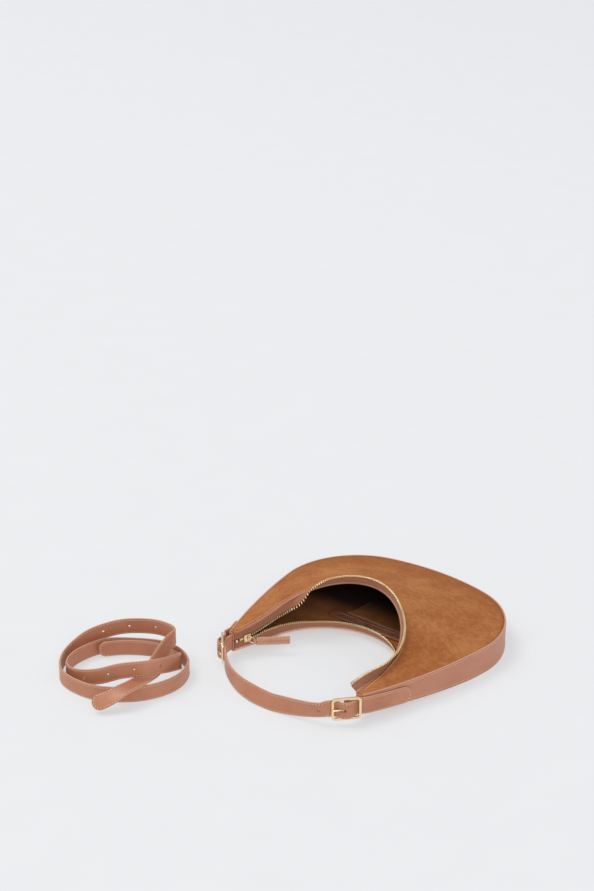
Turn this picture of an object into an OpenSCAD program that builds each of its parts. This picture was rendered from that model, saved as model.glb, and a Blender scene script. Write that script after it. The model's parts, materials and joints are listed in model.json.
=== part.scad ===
// Half moon shoulder bag, lying on its back panel with its mouth open, and its second strap coiled beside it.
// The origin is on the lower edge of the gusset at the middle of the belly. +Y points out of the belly,
// +Z up from the back panel to the front panel, and the mouth opens towards -Y. Sizes are in millimetres.

/* [Bag outline] */
// Height of the bag from the belly to the deepest point of the mouth
panel_h = 142; // [130:1:155]
// Radius of the belly curve
belly_r = 290; // [270:1:310]
// Radius of the two shoulder curves
shoulder_r = 102; // [96:1:108]
// Radius of the two flank curves
flank_r = 640; // [580:1:700]
// Angle of the belly curve on each side of the middle
belly_deg = 14; // [12:0.5:16]
// Width of the leather at the end of each horn
horn_w = 6.6; // [5.6:0.1:7.6]
// How far both horns lie over to the left
horn_swing = 6; // [0:0.5:8]
// How far the right horn lies ahead and the left one behind
horn_lead = 8; // [0:0.5:10]

/* [Mouth] */
// Radius of the mouth curve
mouth_r = 88; // [82:1:92]
// Angle of the mouth curve on each side of the middle
mouth_deg = 80.5; // [78:0.5:83]
// Length of the straight edge from the mouth curve to each horn
mouth_side = 68; // [60:1:76]
// How far the front edge of the mouth arches above its ends
mouth_lift = 40; // [34:0.5:43]
// How far the arched edge draws back from the mouth
mouth_pull = 3.5; // [2:0.5:5]

/* [Leather] */
// Depth of the gusset round the belly
gusset_depth = 34; // [30:0.5:38]
// Depth of the gusset at the horns
horn_depth = 23.5; // [21:0.5:26]
// Height of the gusset's lower edge at the horns
horn_lift = 9; // [7:0.5:11]
// Thickness of the gusset
gusset_t = 2; // [1.6:0.1:2.4]
// Thickness of the suede panels
panel_t = 1.6; // [1.2:0.1:2]
// Thickness of the lining
lining_t = 0.8; // [0.6:0.1:1]
// Radius of the round edging on the mouth
binding_r = 1.6; // [1.4:0.1:1.7]
// How high the middle of the back edge lifts off the floor
back_lift = 6.4; // [5:0.2:8]

/* [Zip] */
// Width of each zip tape that shows, from the edging to the teeth
tape_w = 8.8; // [8.4:0.2:9.2]
// Thickness of the zip tape
tape_t = 0.8; // [0.6:0.1:1]
// Distance from one tooth to the next
tooth_pitch = 2.8; // [2.6:0.1:3.2]
// Width of a tooth along the chain
tooth_w = 1.1; // [0.9:0.1:1.15]
// Length of a tooth across the chain
tooth_l = 2.8; // [2.6:0.1:3]
// Thickness of a tooth
tooth_t = 2.4; // [2:0.1:2.6]
// Length of the slider
slider_l = 10; // [9:0.5:11]
// Length of the leather pull tab
tab_l = 42; // [35:1:46]
// Width of the leather pull tab
tab_w = 10.5; // [8:0.5:11]
// Thickness of the leather pull tab
tab_t = 3; // [2.4:0.2:3.4]

/* [Shoulder strap] */
// Width of the shoulder strap
strap_w = 21; // [19:0.5:21.5]
// Thickness of the shoulder strap
strap_t = 2.4; // [2:0.1:2.6]
// Length of the strap end that lies along the right flank
right_tip_l = 58; // [45:1:65]
// Length of the strap end that lies along the left flank
left_tip_l = 36; // [30:1:50]
// How far the strap sets off from the left buckle before it turns
left_handle = 66; // [56:1:76]
// How far before the right buckle the strap has turned towards it
right_handle = 12; // [8:1:20]

/* [Buckles] */
// Length of a buckle frame along the strap
buckle_l = 34; // [33:0.5:36]
// Height of a buckle frame across the strap
buckle_h = 27.6; // [27.2:0.2:30]
// Width of the bars of the frame
bar_w = 2.6; // [2.2:0.1:2.7]
// Thickness of the bars of the frame
bar_t = 2.4; // [2:0.1:2.6]
// Radius of the centre bar
pin_r = 1.2; // [1:0.05:1.3]
// Distance from a horn to the centre bar of its buckle
anchor_l = 19; // [17:0.5:21]
// Thickness of the leather that loops round the centre bar
anchor_t = 1.6; // [1.4:0.1:1.7]

/* [Long strap] */
// Width of the long strap
long_w = 20; // [18:0.5:22]
// Thickness of the long strap
long_t = 2.4; // [2:0.1:2.6]
// Width of the coil
coil_w = 148; // [144:1:160]
// Depth of the coil
coil_d = 114; // [110:1:124]
// Distance between the holes of the long strap
hole_pitch = 31.5; // [28:0.5:33]
// Radius of the holes of both straps
hole_r = 1.6; // [1.3:0.1:2]

/* [Inner pockets] */
// Length of the pocket zip's opening
pocket_l = 120; // [100:1:126]
// Width of the leather frame round the pocket zip
pocket_w = 20; // [19:0.5:21]
// Depth of the zipped pocket's bag
pouch_h = 62; // [50:1:70]
// Width of the open pocket
slip_l = 110; // [90:1:120]
// Depth of the open pocket
slip_h = 55; // [45:1:60]

/* [Hidden] */
$fn = 16;

suede = "#a8683c";
leather = "#b87c60";
cloth = "#8a5a3c";
tape_brown = "#7d5645";
gold = "#e2c07a";

// Room between layers that lie on each other
layer_gap = 0.2;
// Room between pieces that move past each other
run_gap = 0.35;
// How far a cut runs past what it cuts
overrun = 2;
// Sides of a small round that nothing turns on
plain_sides = 8;
// Degrees in a radian
rad = 180 / PI;

function clamp01(a) = min(1, max(0, a));
function mix(a, b, k) = a * (1 - k) + b * k;
function unit(v) = v / norm(v);
function on_arc(c, r, a) = c + r * [sin(a), cos(a)];

// The outline of the bag: on each side three arcs that run into each other
belly_y = gusset_t / 2;
belly_c = [0, belly_y - belly_r];
shoulder_c = belly_c + (belly_r - shoulder_r) * [sin(belly_deg), cos(belly_deg)];
mouth_y = belly_y - panel_h;
mouth_c = [0, mouth_y - mouth_r];
mouth_end = on_arc(mouth_c, mouth_r, mouth_deg) + mouth_side * [cos(mouth_deg), -sin(mouth_deg)];
horn_p = mouth_end + [horn_w, 0];
horn_y = horn_p.y;
// The shoulder curve turns by the angle from which the flank curve ends at the horn
flank_more = flank_r - shoulder_r;
to_horn = horn_p - shoulder_c;
horn_bearing = atan2(to_horn.x, to_horn.y);
turn_share = (pow(flank_r, 2) - pow(flank_more, 2) - to_horn * to_horn) / (2 * flank_more * norm(to_horn));
turn_deg = horn_bearing - acos(turn_share);
shoulder_deg = turn_deg - belly_deg;
flank_c = shoulder_c - flank_more * [sin(turn_deg), cos(turn_deg)];
flank_end_deg = acos((horn_y - flank_c.y) / flank_r);
belly_len = belly_r * belly_deg / rad;
bend_len = belly_len + shoulder_r * shoulder_deg / rad;
rim_len = bend_len + flank_r * (flank_end_deg - turn_deg) / rad;
arc_len = mouth_r * mouth_deg / rad;
mouth_len = arc_len + mouth_side;

function half_rim(l, inset) =
    l < belly_len ? on_arc(belly_c, belly_r - inset, l / belly_r * rad)
    : l < bend_len ? on_arc(shoulder_c, shoulder_r - inset, belly_deg + (l - belly_len) / shoulder_r * rad)
    : on_arc(flank_c, flank_r - inset, turn_deg + (l - bend_len) / flank_r * rad);
function half_mouth(l, grow) =
    l < arc_len ? on_arc(mouth_c, mouth_r + grow, l / mouth_r * rad)
    : on_arc(mouth_c, mouth_r + grow, mouth_deg) + (l - arc_len) * [cos(mouth_deg), -sin(mouth_deg)];
function sided(p, q) = [q < 0 ? -p.x : p.x, p.y];

// The horns lie a little to the left, the right one ahead of the left one
horn_x = horn_p.x;
function taper(y) = max(0, (mouth_y - y) / (mouth_y - horn_y));
function lie(p) = p - pow(min(1, taper(p.y)), 2) * [horn_swing, horn_lead * p.x / horn_x];

// q runs from -1 at the left horn through 0 at the middle to 1 at the right horn
function rim(q, inset) = lie(sided(half_rim(abs(q) * rim_len, inset), q));
function mouth(q, grow) = lie(sided(half_mouth(abs(q) * mouth_len, grow), q));

// Heights of the gusset's edges, and of the back and front edges of the mouth
function rim_low(y) = horn_lift * taper(y);
function rim_high(y) = mix(gusset_depth, horn_lift + horn_depth, taper(y));
back_roll_share = 0.5;
flat_y = mouth_y + panel_h * back_roll_share;
function back_z(y) = y > flat_y ? 0
    : y > mouth_y ? back_lift * pow((flat_y - y) / (flat_y - mouth_y), 2)
    : mix(back_lift, horn_lift, taper(y));
arch_left_share = 1.04;
arch_right_share = 0.82;
function arch(q) = pow(cos(90 * clamp01(abs(q) / (q < 0 ? arch_left_share : arch_right_share))), 2);
front_end_z = horn_lift + horn_depth + panel_t;
function front_edge_z(q) = front_end_z + mouth_lift * arch(q);
function front_mouth(q, grow) = mouth(q, grow + mouth_pull * pow(arch(q), 2));

// A closed sheet from two grids of the same layout, the first above the second
module sheet(upper, lower) {
    nc = len(upper);
    nr = len(upper[0]);
    half = nc * nr;
    points = concat([for (col = upper) each col], [for (col = lower) each col]);
    function id(i, j) = i * nr + j;
    edge = concat([for (i = [0:nc - 1]) id(i, 0)], [for (j = [1:nr - 1]) id(nc - 1, j)],
        [for (i = [nc - 2:-1:0]) id(i, nr - 1)], [for (j = [nr - 2:-1:1]) id(0, j)]);
    n = len(edge);
    polyhedron(points, concat(
        [for (i = [0:nc - 2], j = [0:nr - 2]) each [[id(i, j), id(i, j + 1), id(i + 1, j + 1)],
            [id(i, j), id(i + 1, j + 1), id(i + 1, j)]]],
        [for (i = [0:nc - 2], j = [0:nr - 2]) each [
            [half + id(i, j), half + id(i + 1, j + 1), half + id(i, j + 1)],
            [half + id(i, j), half + id(i + 1, j), half + id(i + 1, j + 1)]]],
        [for (k = [0:n - 1]) let (a = edge[k], b = edge[(k + 1) % n])
            each [[a, b, half + b], [a, half + b, half + a]]]));
}

// A closed bar through rings of points, capped at both ends
module sweep(rings) {
    n = len(rings);
    k = len(rings[0]);
    polyhedron([for (ring = rings) each ring], concat(
        [[for (j = [0:k - 1]) j]],
        [for (i = [0:n - 2], j = [0:k - 1]) let (a = i * k + j, b = i * k + (j + 1) % k)
            each [[a, a + k, b], [b, a + k, b + k]]],
        [[for (j = [k - 1:-1:0]) (n - 1) * k + j]]));
}

// The front panel falls from the arched mouth to the rim, and its lining lies under it
rim_inset = gusset_t + layer_gap;
rim_drop = 2 * layer_gap;
columns = 44;
rows = 5;
dome_power = 1.2;
function front_pt(q, v, drop) =
    let (m = front_mouth(q, 0), r = rim(q, rim_inset), p = mix(m, r, v))
    [p.x, p.y, mix(rim_high(r.y) - rim_drop, front_edge_z(q), pow(1 - v, dome_power)) - drop];
function front_grid(drop) = [for (i = [0:columns]) [for (j = [0:rows]) front_pt(2 * i / columns - 1, j / rows, drop)]];
front_drop = panel_t + layer_gap;
front_stack = front_drop + lining_t;

module front_panel() {
    color(suede) sheet(front_grid(0), front_grid(panel_t));
}

module front_lining() {
    color(cloth) sheet(front_grid(front_drop), front_grid(front_stack));
}

// The back layers are cut from the crescent. They lie on the floor and lift towards the mouth, and along
// the rim they stay on the gusset's lower edge
rim_steps = 72;
roll_steps = 3;
pouch_t = lining_t * 0.75;
pouch_z = panel_t + layer_gap;
lining_z = pouch_z + pouch_t + layer_gap;
back_stack = lining_z + lining_t;
level_x = (pocket_l + pocket_w) / 2 + layer_gap;
function level_half(y) = mix(level_x, mouth_end.x, taper(y));
function rim_half(y) = flank_c.x + sqrt(pow(flank_r, 2) - pow(min(y, shoulder_c.y) - flank_c.y, 2)) - rim_inset;
fall_shares = [[0, 1], [0.33, 0.74], [0.67, 0.26], [1, 0]];
taper_shares = [1.03, 0.5];
back_ys = concat([for (k = taper_shares) mix(mouth_y, horn_y, k)],
    [for (k = [0:roll_steps]) mix(mouth_y, flat_y, k / roll_steps)], [belly_y + overrun]);
function back_pt(x, y, share, raise) =
    let (p = lie([x, y])) [p.x, p.y, mix(rim_low(p.y), back_z(p.y), share) + raise];
function back_row(y, side, raise) = [for (s = fall_shares)
    back_pt(side * mix(level_half(y), rim_half(y), s.x), y, s.y, raise)];
function back_column(k, raise) = let (side = k < 0 ? -1 : 1, n = abs(k) - 1)
    [for (y = back_ys) n > 3 ? back_pt(side * 2 * horn_x, y, 0, raise) : back_row(y, side, raise)[n]];
function back_grid(raise) = [for (k = [-5, -4, -3, -2, -1, 1, 2, 3, 4, 5]) back_column(k, raise)];

module crescent(height) {
    linear_extrude(height) polygon(concat(
        [for (i = [0:rim_steps]) rim(2 * i / rim_steps - 1, rim_inset)],
        [for (i = [rim_steps:-1:0]) mouth(2 * i / rim_steps - 1, 0)]));
}

module back_layer(low, high) {
    intersection() {
        crescent(gusset_depth);
        sheet(back_grid(high), back_grid(low));
    }
}

module back_panel() {
    color(suede) back_layer(0, panel_t);
}

// The zipped pocket lies in the last slope before the mouth, and its own X runs along the zip
slope_y = mix(flat_y, mouth_y, (roll_steps - 1) / roll_steps);
slope_z = back_z(slope_y);
slope_deg = atan2(slope_z - back_lift, slope_y - mouth_y);
module at_pocket() {
    translate([0, mix(slope_y, mouth_y, 0.5), mix(slope_z, back_lift, 0.5)]) rotate([slope_deg, 0, 0]) children();
}

// The chain's parts are worked out from the teeth: half heights measured from the middle of the tape
pocket_plate_t = 0.6;
pocket_tooth_t = tooth_t * 0.6;
pocket_tape_t = lining_t * 0.75;
pocket_mid_z = pouch_z + pouch_t + run_gap + pocket_plate_t + run_gap + pocket_tooth_t / 2;
neck_t = 0.7;
row_half = neck_t / 2 + run_gap;
pocket_tooth_l = tooth_l * 0.8;
pocket_root = row_half + pocket_tooth_l;
lip_w = 0.65;
pocket_slider_half = pocket_root + run_gap + lip_w;
slot_half = pocket_slider_half + run_gap;
pocket_tape_half = pocket_w / 2 - 2 * run_gap;

module back_lining() {
    color(cloth) difference() {
        back_layer(lining_z, back_stack);
        at_pocket() translate([-pocket_l / 2, -slot_half, 0]) cube([pocket_l, 2 * slot_half, back_stack + overrun]);
    }
}

// A band round the rim between two insets, and the side view that narrows it towards the horns
module rim_band(outer, inner, reach_share) {
    linear_extrude(gusset_depth) polygon(concat(
        [for (i = [0:rim_steps]) rim((2 * i / rim_steps - 1) * reach_share, outer)],
        [for (i = [rim_steps:-1:0]) rim((2 * i / rim_steps - 1) * reach_share, inner)]));
}

module gusset_side(low, high) {
    ys = [belly_y + overrun, mouth_y, 2 * horn_y - mouth_y];
    translate([-2 * horn_x, 0, 0]) rotate([90, 0, 90]) linear_extrude(4 * horn_x) polygon(concat(
        [for (y = ys) [y, rim_low(y) + low]], [for (k = [2:-1:0]) [ys[k], rim_high(ys[k]) - high]]));
}

module gusset() {
    color(leather) intersection() {
        rim_band(0, gusset_t, 1);
        gusset_side(0, 0);
    }
}

lining_reach_share = 0.96;
module gusset_lining() {
    color(cloth) intersection() {
        rim_band(rim_inset, rim_inset + lining_t, lining_reach_share);
        gusset_side(back_stack + layer_gap, rim_drop + front_stack + layer_gap);
    }
}

// The mouth's edging, tape and teeth all start from the middle line of the edging
edge_out = binding_r + layer_gap / 2;
function edging(q, front) = front
    ? let (p = front_mouth(q, -edge_out)) [p.x, p.y, front_edge_z(q) - front_stack / 2]
    : let (p = mouth(q, -edge_out)) [p.x, p.y, back_z(mouth(q, 0).y) + back_stack / 2];
look_share = 0.004;
function heading(q, front) =
    let (a = edging(max(-1, q - look_share), front), b = edging(min(1, q + look_share), front))
    atan2(b.y - a.y, b.x - a.x);

// How far each tape turns up from level, at places along the mouth
front_turn_share = [[-1, -90], [-0.66, -90], [-0.54, -70], [-0.43, 30], [-0.3, 60], [0, 72], [0.3, 92],
    [0.45, 110], [0.62, 120], [0.76, 108], [0.88, 72], [1, 38]];
back_turn_share = [[-1, 90], [-0.66, 90], [-0.4, 65], [0.4, 65], [1, 75]];
function turned(q, front) = lookup(q, front ? front_turn_share : back_turn_share);
function void_dir(q, front) = let (h = heading(q, front)) [sin(h), -cos(h), 0];
function reach_dir(q, front) = let (t = turned(q, front)) void_dir(q, front) * cos(t) + [0, 0, sin(t)];
function face_dir(q, front) = let (t = turned(q, front)) [0, 0, cos(t)] - void_dir(q, front) * sin(t);

// The slider stands where the two rows part, and behind it they are closed on one level line
slider_share = 0.9;
slider_q = -slider_share;
chain_p = edging(slider_q, false);
chain_z = mix(edging(-1, true).z, edging(-1, false).z, 0.5);
chain_deg = heading(slider_q, false);
closed_root = tooth_l / 2 + run_gap * 0.7;
open_root = row_half + tooth_l + layer_gap / 2;
part_start_share = -0.1;
part_end_share = 0.3;
part_hold_share = 1.6;
part_free_share = 4.5;
function root_at(q) = lookup((q - slider_q) * mouth_len / slider_l, [[part_start_share, closed_root],
    [part_end_share, open_root], [part_hold_share, open_root], [part_free_share, -tooth_l]]);
function tape_end(q, front) = min(binding_r + tape_w, abs(edging(q, front).z - chain_z) - root_at(q));

binding_steps = 64;
binding_sides = 6;
module binding(front) {
    color(leather) sweep([for (i = [0:binding_steps]) let (q = 2 * i / binding_steps - 1,
        m = edging(q, front), v = void_dir(q, front))
        [for (j = [0:binding_sides - 1]) let (a = -360 * (j + 0.5) / binding_sides)
            m + binding_r * (v * cos(a) + [0, 0, sin(a)])]]);
}

tape_start = binding_r + layer_gap;
part_qs = [for (s = [part_start_share, part_end_share, part_hold_share, part_free_share])
    slider_q + s * slider_l / mouth_len];
tape_qs = [for (i = [0:binding_steps]) let (q = 2 * i / binding_steps - 1, more = 2 / binding_steps)
    each concat([q], [for (p = part_qs) if (p > q && p < q + more) p])];
module zip_tape(front) {
    color(tape_brown) sweep([for (q = tape_qs) let (m = edging(q, front), d = reach_dir(q, front),
        f = face_dir(q, front) * tape_t / 2, e = tape_end(q, front))
        [m + d * tape_start - f, m + d * e - f, m + d * e + f, m + d * tape_start + f]]);
}

// The teeth of one side stand between those of the other where the chain is closed
stop_l = tooth_pitch;
tooth_count = 2 * floor((mouth_len - 3 * stop_l) / tooth_pitch);
function tooth_q(i, front) = ((i - (tooth_count - 1) / 2) * tooth_pitch + (front ? 0 : tooth_pitch / 2)) / mouth_len;
function row_start(q, front) = tape_end(q, front) + 1.5 * layer_gap;

module on_row(q, front) {
    translate(edging(q, front)) rotate([-turned(q, front), 0, heading(q, front)])
        translate([0, -row_start(q, front), 0]) children();
}

module zip_teeth(front) {
    color(gold) for (i = [0:tooth_count - 1]) on_row(tooth_q(i, front), front)
        translate([-tooth_w / 2, -tooth_l, -tooth_t / 2]) cube([tooth_w, tooth_l, tooth_t]);
}

// In this frame X runs along the chain towards the mouth, Y up across the rows and Z out into the mouth
module at_chain() {
    translate([chain_p.x, chain_p.y, chain_z]) rotate([90, 0, chain_deg]) children();
}

stop_t = tooth_t + 2 * run_gap;
module bottom_stop() {
    stop_h = 2 * closed_root;
    behind = (1 - slider_share) * mouth_len - stop_l * 2;
    color(gold) at_chain() translate([-behind - stop_l, -stop_h / 2, -stop_t / 2]) cube([stop_l, stop_h, stop_t]);
}

module top_stops() {
    q = 1 - stop_l / mouth_len;
    color(gold) for (front = [true, false]) on_row(q, front)
        translate([-stop_l / 2, -tooth_l, -stop_t / 2]) cube([stop_l, tooth_l, stop_t]);
}

// A slider's two plates, the lips round its tape, the neck that parts the rows and the bridge for its puller
module slider_body(l, root, half_chain, half_tape, plate_t, wire_r) {
    inner = half_chain + run_gap;
    lip_y = root + run_gap;
    half_w = lip_y + lip_w;
    neck_l = l / 5;
    nose = half_w / 3;
    hole_w = 4 * wire_r + 2 * run_gap;
    hole_h = 2 * (wire_r + run_gap);
    bridge_w = 2.4 * wire_r;
    post_w = 1.2 * wire_r;
    for (z = [inner, -inner - plate_t]) translate([0, 0, z]) linear_extrude(plate_t) polygon([
        [-l / 2, half_w - nose / 2], [-l / 2 + nose / 2, half_w], [l / 2 - nose, half_w], [l / 2, half_w - nose],
        [l / 2, nose - half_w], [l / 2 - nose, -half_w], [-l / 2 + nose / 2, -half_w], [-l / 2, nose / 2 - half_w]]);
    for (y = [-half_w, lip_y], z = [half_tape + run_gap, -inner - overrun / 10])
        translate([nose / 2 - l / 2, y, z]) cube([l - 1.5 * nose, lip_w, inner - half_tape - run_gap + overrun / 10]);
    translate([l / 2 - neck_l, -neck_t / 2, -inner - plate_t / 2]) cube([neck_l, neck_t, 2 * inner + plate_t]);
    translate([0, bridge_w / 2, inner + plate_t]) rotate([90, 0, 0]) linear_extrude(bridge_w) difference() {
        translate([-hole_w / 2 - post_w, -plate_t / 2]) square([hole_w + 2 * post_w, hole_h + plate_t / 2 + post_w]);
        translate([-hole_w / 2, 0]) square([hole_w, hole_h]);
    }
}

// A loop of wire in the XY plane, its first leg on the pivot and its last leg lower by a drop
module wire_loop(l, w, drop, r) {
    corners = [[0, w / 2], [0, -w / 2], [l, -w / 2 - drop], [l, w / 2 - drop]];
    corner_h = 1.3 * r;
    for (k = [0:3]) {
        a = corners[k];
        b = corners[(k + 1) % 4];
        translate([a.x, a.y, -corner_h / 2]) cylinder(h = corner_h, r = r);
        translate([a.x, a.y, 0]) rotate([0, 90, atan2(b.y - a.y, b.x - a.x)]) cylinder(h = norm(b - a), r = r);
    }
}

plate_t = 1;
wire_r = 0.6;
ring_l = 7.5;
ring_w = 7;
ring_drop = 4.2;
ring_swing_deg = 32;
pivot_z = tooth_t / 2 + run_gap + plate_t + run_gap + wire_r;

module zip_slider() {
    color(gold) at_chain() slider_body(slider_l, open_root, tooth_t / 2, tape_t / 2, plate_t, wire_r);
}

module at_ring() {
    at_chain() translate([0, 0, pivot_z]) rotate([0, -ring_swing_deg, 0]) children();
}

module zip_puller() {
    color(gold) at_ring() wire_loop(ring_l, ring_w, ring_drop, wire_r);
}

module zip_pull_tab() {
    eye_r = wire_r + run_gap;
    eye_out = eye_r + tab_t / 3;
    leg_w = wire_r * norm([ring_l, ring_drop]) / ring_l + run_gap;
    neck_low = leg_w - ring_w / 2 + ring_drop * eye_out / ring_l;
    neck_high = ring_w / 2 - eye_r;
    shoulder = ring_l;
    half = tab_w / 2;
    cut = tab_w / 8;
    color(leather) at_ring() translate([ring_l, -ring_drop, 0]) difference() {
        union() {
            rotate([90, 0, 0]) translate([0, 0, -neck_high]) cylinder(h = neck_high - neck_low, r = eye_out);
            translate([0, 0, -tab_t / 2]) linear_extrude(tab_t) polygon([[0, neck_high], [eye_out, neck_high],
                [shoulder, half], [tab_l - cut, half], [tab_l, half - cut], [tab_l, cut - half],
                [tab_l - cut, -half], [shoulder, -half], [eye_out, neck_low], [0, neck_low]]);
        }
        rotate([90, 0, 0]) translate([0, 0, -ring_w]) cylinder(h = 2 * ring_w, r = eye_r);
    }
}

// The horns end here, and the buckles' centre bars stand beyond them, drawn in towards the middle
anchor_in_share = 0.3;
function anchor_turn(side) = side < 0 ? 3 : 13;
buckle_turn_deg = 48.65;
function horn_end(side) = mix(mouth(side, 0), rim(side, 0), anchor_in_share);
function bar_p(side) = horn_end(side) + anchor_l * [-side * sin(anchor_turn(side)), -cos(anchor_turn(side))];
bar_z = horn_lift + horn_depth / 2;
strap_room = run_gap * 2;
frame_in_h = buckle_h - 2 * bar_w;

// Both sides are made in the frame of the left one, in which Y points out of the bag
module at_bar(side, turn) {
    c = bar_p(side);
    translate([c.x, c.y, bar_z]) rotate([0, 0, side > 0 ? turn : 180 - turn])
        mirror([0, side > 0 ? 1 : 0, 0]) children();
}

bore_r = pin_r + run_gap;
loop_r = bore_r + anchor_t;
loop_h = frame_in_h - 3 * bar_w / 2;
prong_r = 0.9;
prong_eye_w = 2.6;
notch_w = prong_eye_w + 2 * run_gap;
root_l = anchor_l * 0.55;
root_h = horn_depth - front_stack - back_stack - 4 * layer_gap - 3 * (rim_low(horn_end(1).y) - horn_lift);
plate_gap = layer_gap * 1.5;

// A loop's outline: round at the bar, and drawn in to half a thickness at a distance from it
module drop_shape(r, half, reach) {
    circle(r);
    polygon([[0, r], [0, -r], [anchor_l / 2, -half], [reach, -half], [reach, half], [anchor_l / 2, half]]);
}

module anchor(side) {
    a = mouth(side, -binding_r);
    b = rim(side, gusset_t / 2);
    out = unit([b.y - a.y, a.x - b.x]) * side;
    cap = plate_gap + anchor_t;
    color(leather) {
        difference() {
            union() {
                at_bar(side, 90 - anchor_turn(side)) {
                    translate([0, 0, -loop_h / 2]) linear_extrude(loop_h) drop_shape(loop_r, anchor_t, anchor_l - cap);
                    translate([anchor_l / 2, -anchor_t, -root_h / 2]) cube([anchor_l / 2 + root_l, 2 * anchor_t, root_h]);
                }
                translate([0, 0, horn_lift]) linear_extrude(horn_depth) polygon([a + out * plate_gap,
                    b + out * plate_gap, b + out * cap, a + out * cap]);
            }
            at_bar(side, 90 - anchor_turn(side)) {
                translate([0, 0, -loop_h]) linear_extrude(2 * loop_h) drop_shape(bore_r, layer_gap / 2, anchor_l * 0.45);
                translate([0, 0, -notch_w / 2]) cylinder(h = notch_w, r = loop_r + run_gap);
            }
        }
    }
}

frame_corner_r = bar_w * 1.9;
module rounded(l, w, r) {
    translate([-l / 2 + r, -w / 2]) square([l - 2 * r, w]);
    translate([-l / 2, -w / 2 + r]) square([l, w - 2 * r]);
    for (x = [-1, 1], y = [-1, 1]) translate([x * (l / 2 - r), y * (w / 2 - r)]) circle(r);
}

module buckle(side) {
    color(gold) at_bar(side, buckle_turn_deg) {
        rotate([90, 0, 0]) translate([0, 0, -bar_t / 2]) linear_extrude(bar_t) difference() {
            rounded(buckle_l, buckle_h, frame_corner_r);
            rounded(buckle_l - 2 * bar_w, frame_in_h, frame_corner_r - bar_w);
        }
        translate([0, 0, -frame_in_h / 2 - bar_w / 2]) cylinder(h = frame_in_h + bar_w, r = pin_r);
    }
}

// The prong turns on the centre bar and its tip rests over the bar on the loop's side
prong_y = bar_t / 2 + run_gap + prong_r;
prong_tip_x = -(buckle_l / 2 - bar_w / 4);
module prong(side) {
    color(gold) at_bar(side, buckle_turn_deg) difference() {
        union() {
            translate([0, 0, -prong_eye_w / 2]) cylinder(h = prong_eye_w, r = prong_y);
            translate([0, prong_y, 0]) rotate([0, -90, 0]) cylinder(h = -prong_tip_x, r = prong_r, $fn = plain_sides);
            translate([prong_tip_x, prong_y, 0]) rotate([0, -90, 0])
                cylinder(h = prong_r / 2, r1 = prong_r, r2 = prong_r / 2, $fn = plain_sides);
        }
        translate([0, 0, -prong_eye_w]) cylinder(h = 2 * prong_eye_w, r = bore_r);
    }
}

// The strap goes behind the frame's end bars and over the centre bar. The table is in shares of half the
// frame's length along the strap, and from the place behind the bars (0) to the one over the centre (1)
over_y = max(loop_r, prong_y + prong_r) + run_gap + strap_t / 2;
under_y = -(bar_t / 2 + 2.5 * run_gap + strap_t / 2);
bow_shares = [[-1.3, 0], [-1, 0], [-0.82, 0], [-0.68, 0.1], [-0.5, 0.45], [-0.32, 0.84], [-0.16, 0.97], [0, 1],
    [0.16, 0.97], [0.32, 0.84], [0.5, 0.45], [0.68, 0.1], [0.82, 0], [1, 0], [1.3, 0]];
function strap_dir(side) = [side * cos(buckle_turn_deg), sin(buckle_turn_deg)];
function strap_out(side) = [side * sin(buckle_turn_deg), -cos(buckle_turn_deg)];
function at_buckle(side, x, y) = bar_p(side) + x * strap_dir(side) + y * strap_out(side);
function bow(side) = [for (s = bow_shares) let (p = at_buckle(side, s.x * buckle_l / 2, mix(under_y, over_y, s.y)))
    [p.x, p.y, bar_z, 0]];

// Past the buckles its ends lie along the flanks, just clear of the gusset
tip_shares = [0.3, 0.45, 0.6, 0.75, 0.87, 0.94, 0.98, 1];
tip_off = strap_t / 2 + 1.4 * run_gap;
right_tip_z = bar_z - strap_w / 6;
left_tip_z = bar_z + strap_w / 9;
function tip(side) = let (l = side > 0 ? right_tip_l : left_tip_l, z = side > 0 ? right_tip_z : left_tip_z)
    [for (s = tip_shares) let (p = rim(side * (1 - s * l / rim_len), -tip_off * (1 + pow(1 - s, 2))))
        [p.x, p.y, mix(bar_z, z, s), 0]];

// Between the buckles it hangs down in one curve and rests on its lower edge
floor_z = strap_w / 2 + layer_gap;
lean_shares = [[0, 0], [0.16, -1], [0.36, -18], [0.6, -8], [0.8, 10], [0.92, 12], [1, 6]];
rise_left_power = 3;
rise_right_power = 0.9;
loop_steps = 22;
loop_a = at_buckle(-1, bow_shares[0].x * buckle_l / 2, under_y);
loop_d = at_buckle(1, bow_shares[0].x * buckle_l / 2, under_y);
loop_b = loop_a - left_handle * strap_dir(-1);
loop_c = loop_d - right_handle * strap_dir(1);
function bezier(a, b, c, d, t) = pow(1 - t, 3) * a + 3 * pow(1 - t, 2) * t * b + 3 * (1 - t) * t * t * c + pow(t, 3) * d;
function loop_pt(t) = let (p = bezier(loop_a, loop_b, loop_c, loop_d, t))
    [p.x, p.y, mix(floor_z, bar_z, pow(abs(2 * t - 1), t < 0.5 ? rise_left_power : rise_right_power)),
        lookup(t, lean_shares)];
function reversed(list) = [for (k = [len(list) - 1:-1:0]) list[k]];
strap_path = concat(reversed(tip(-1)), reversed(bow(-1)), [for (k = [1:loop_steps - 1]) loop_pt(k / loop_steps)],
    bow(1), tip(1));

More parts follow.
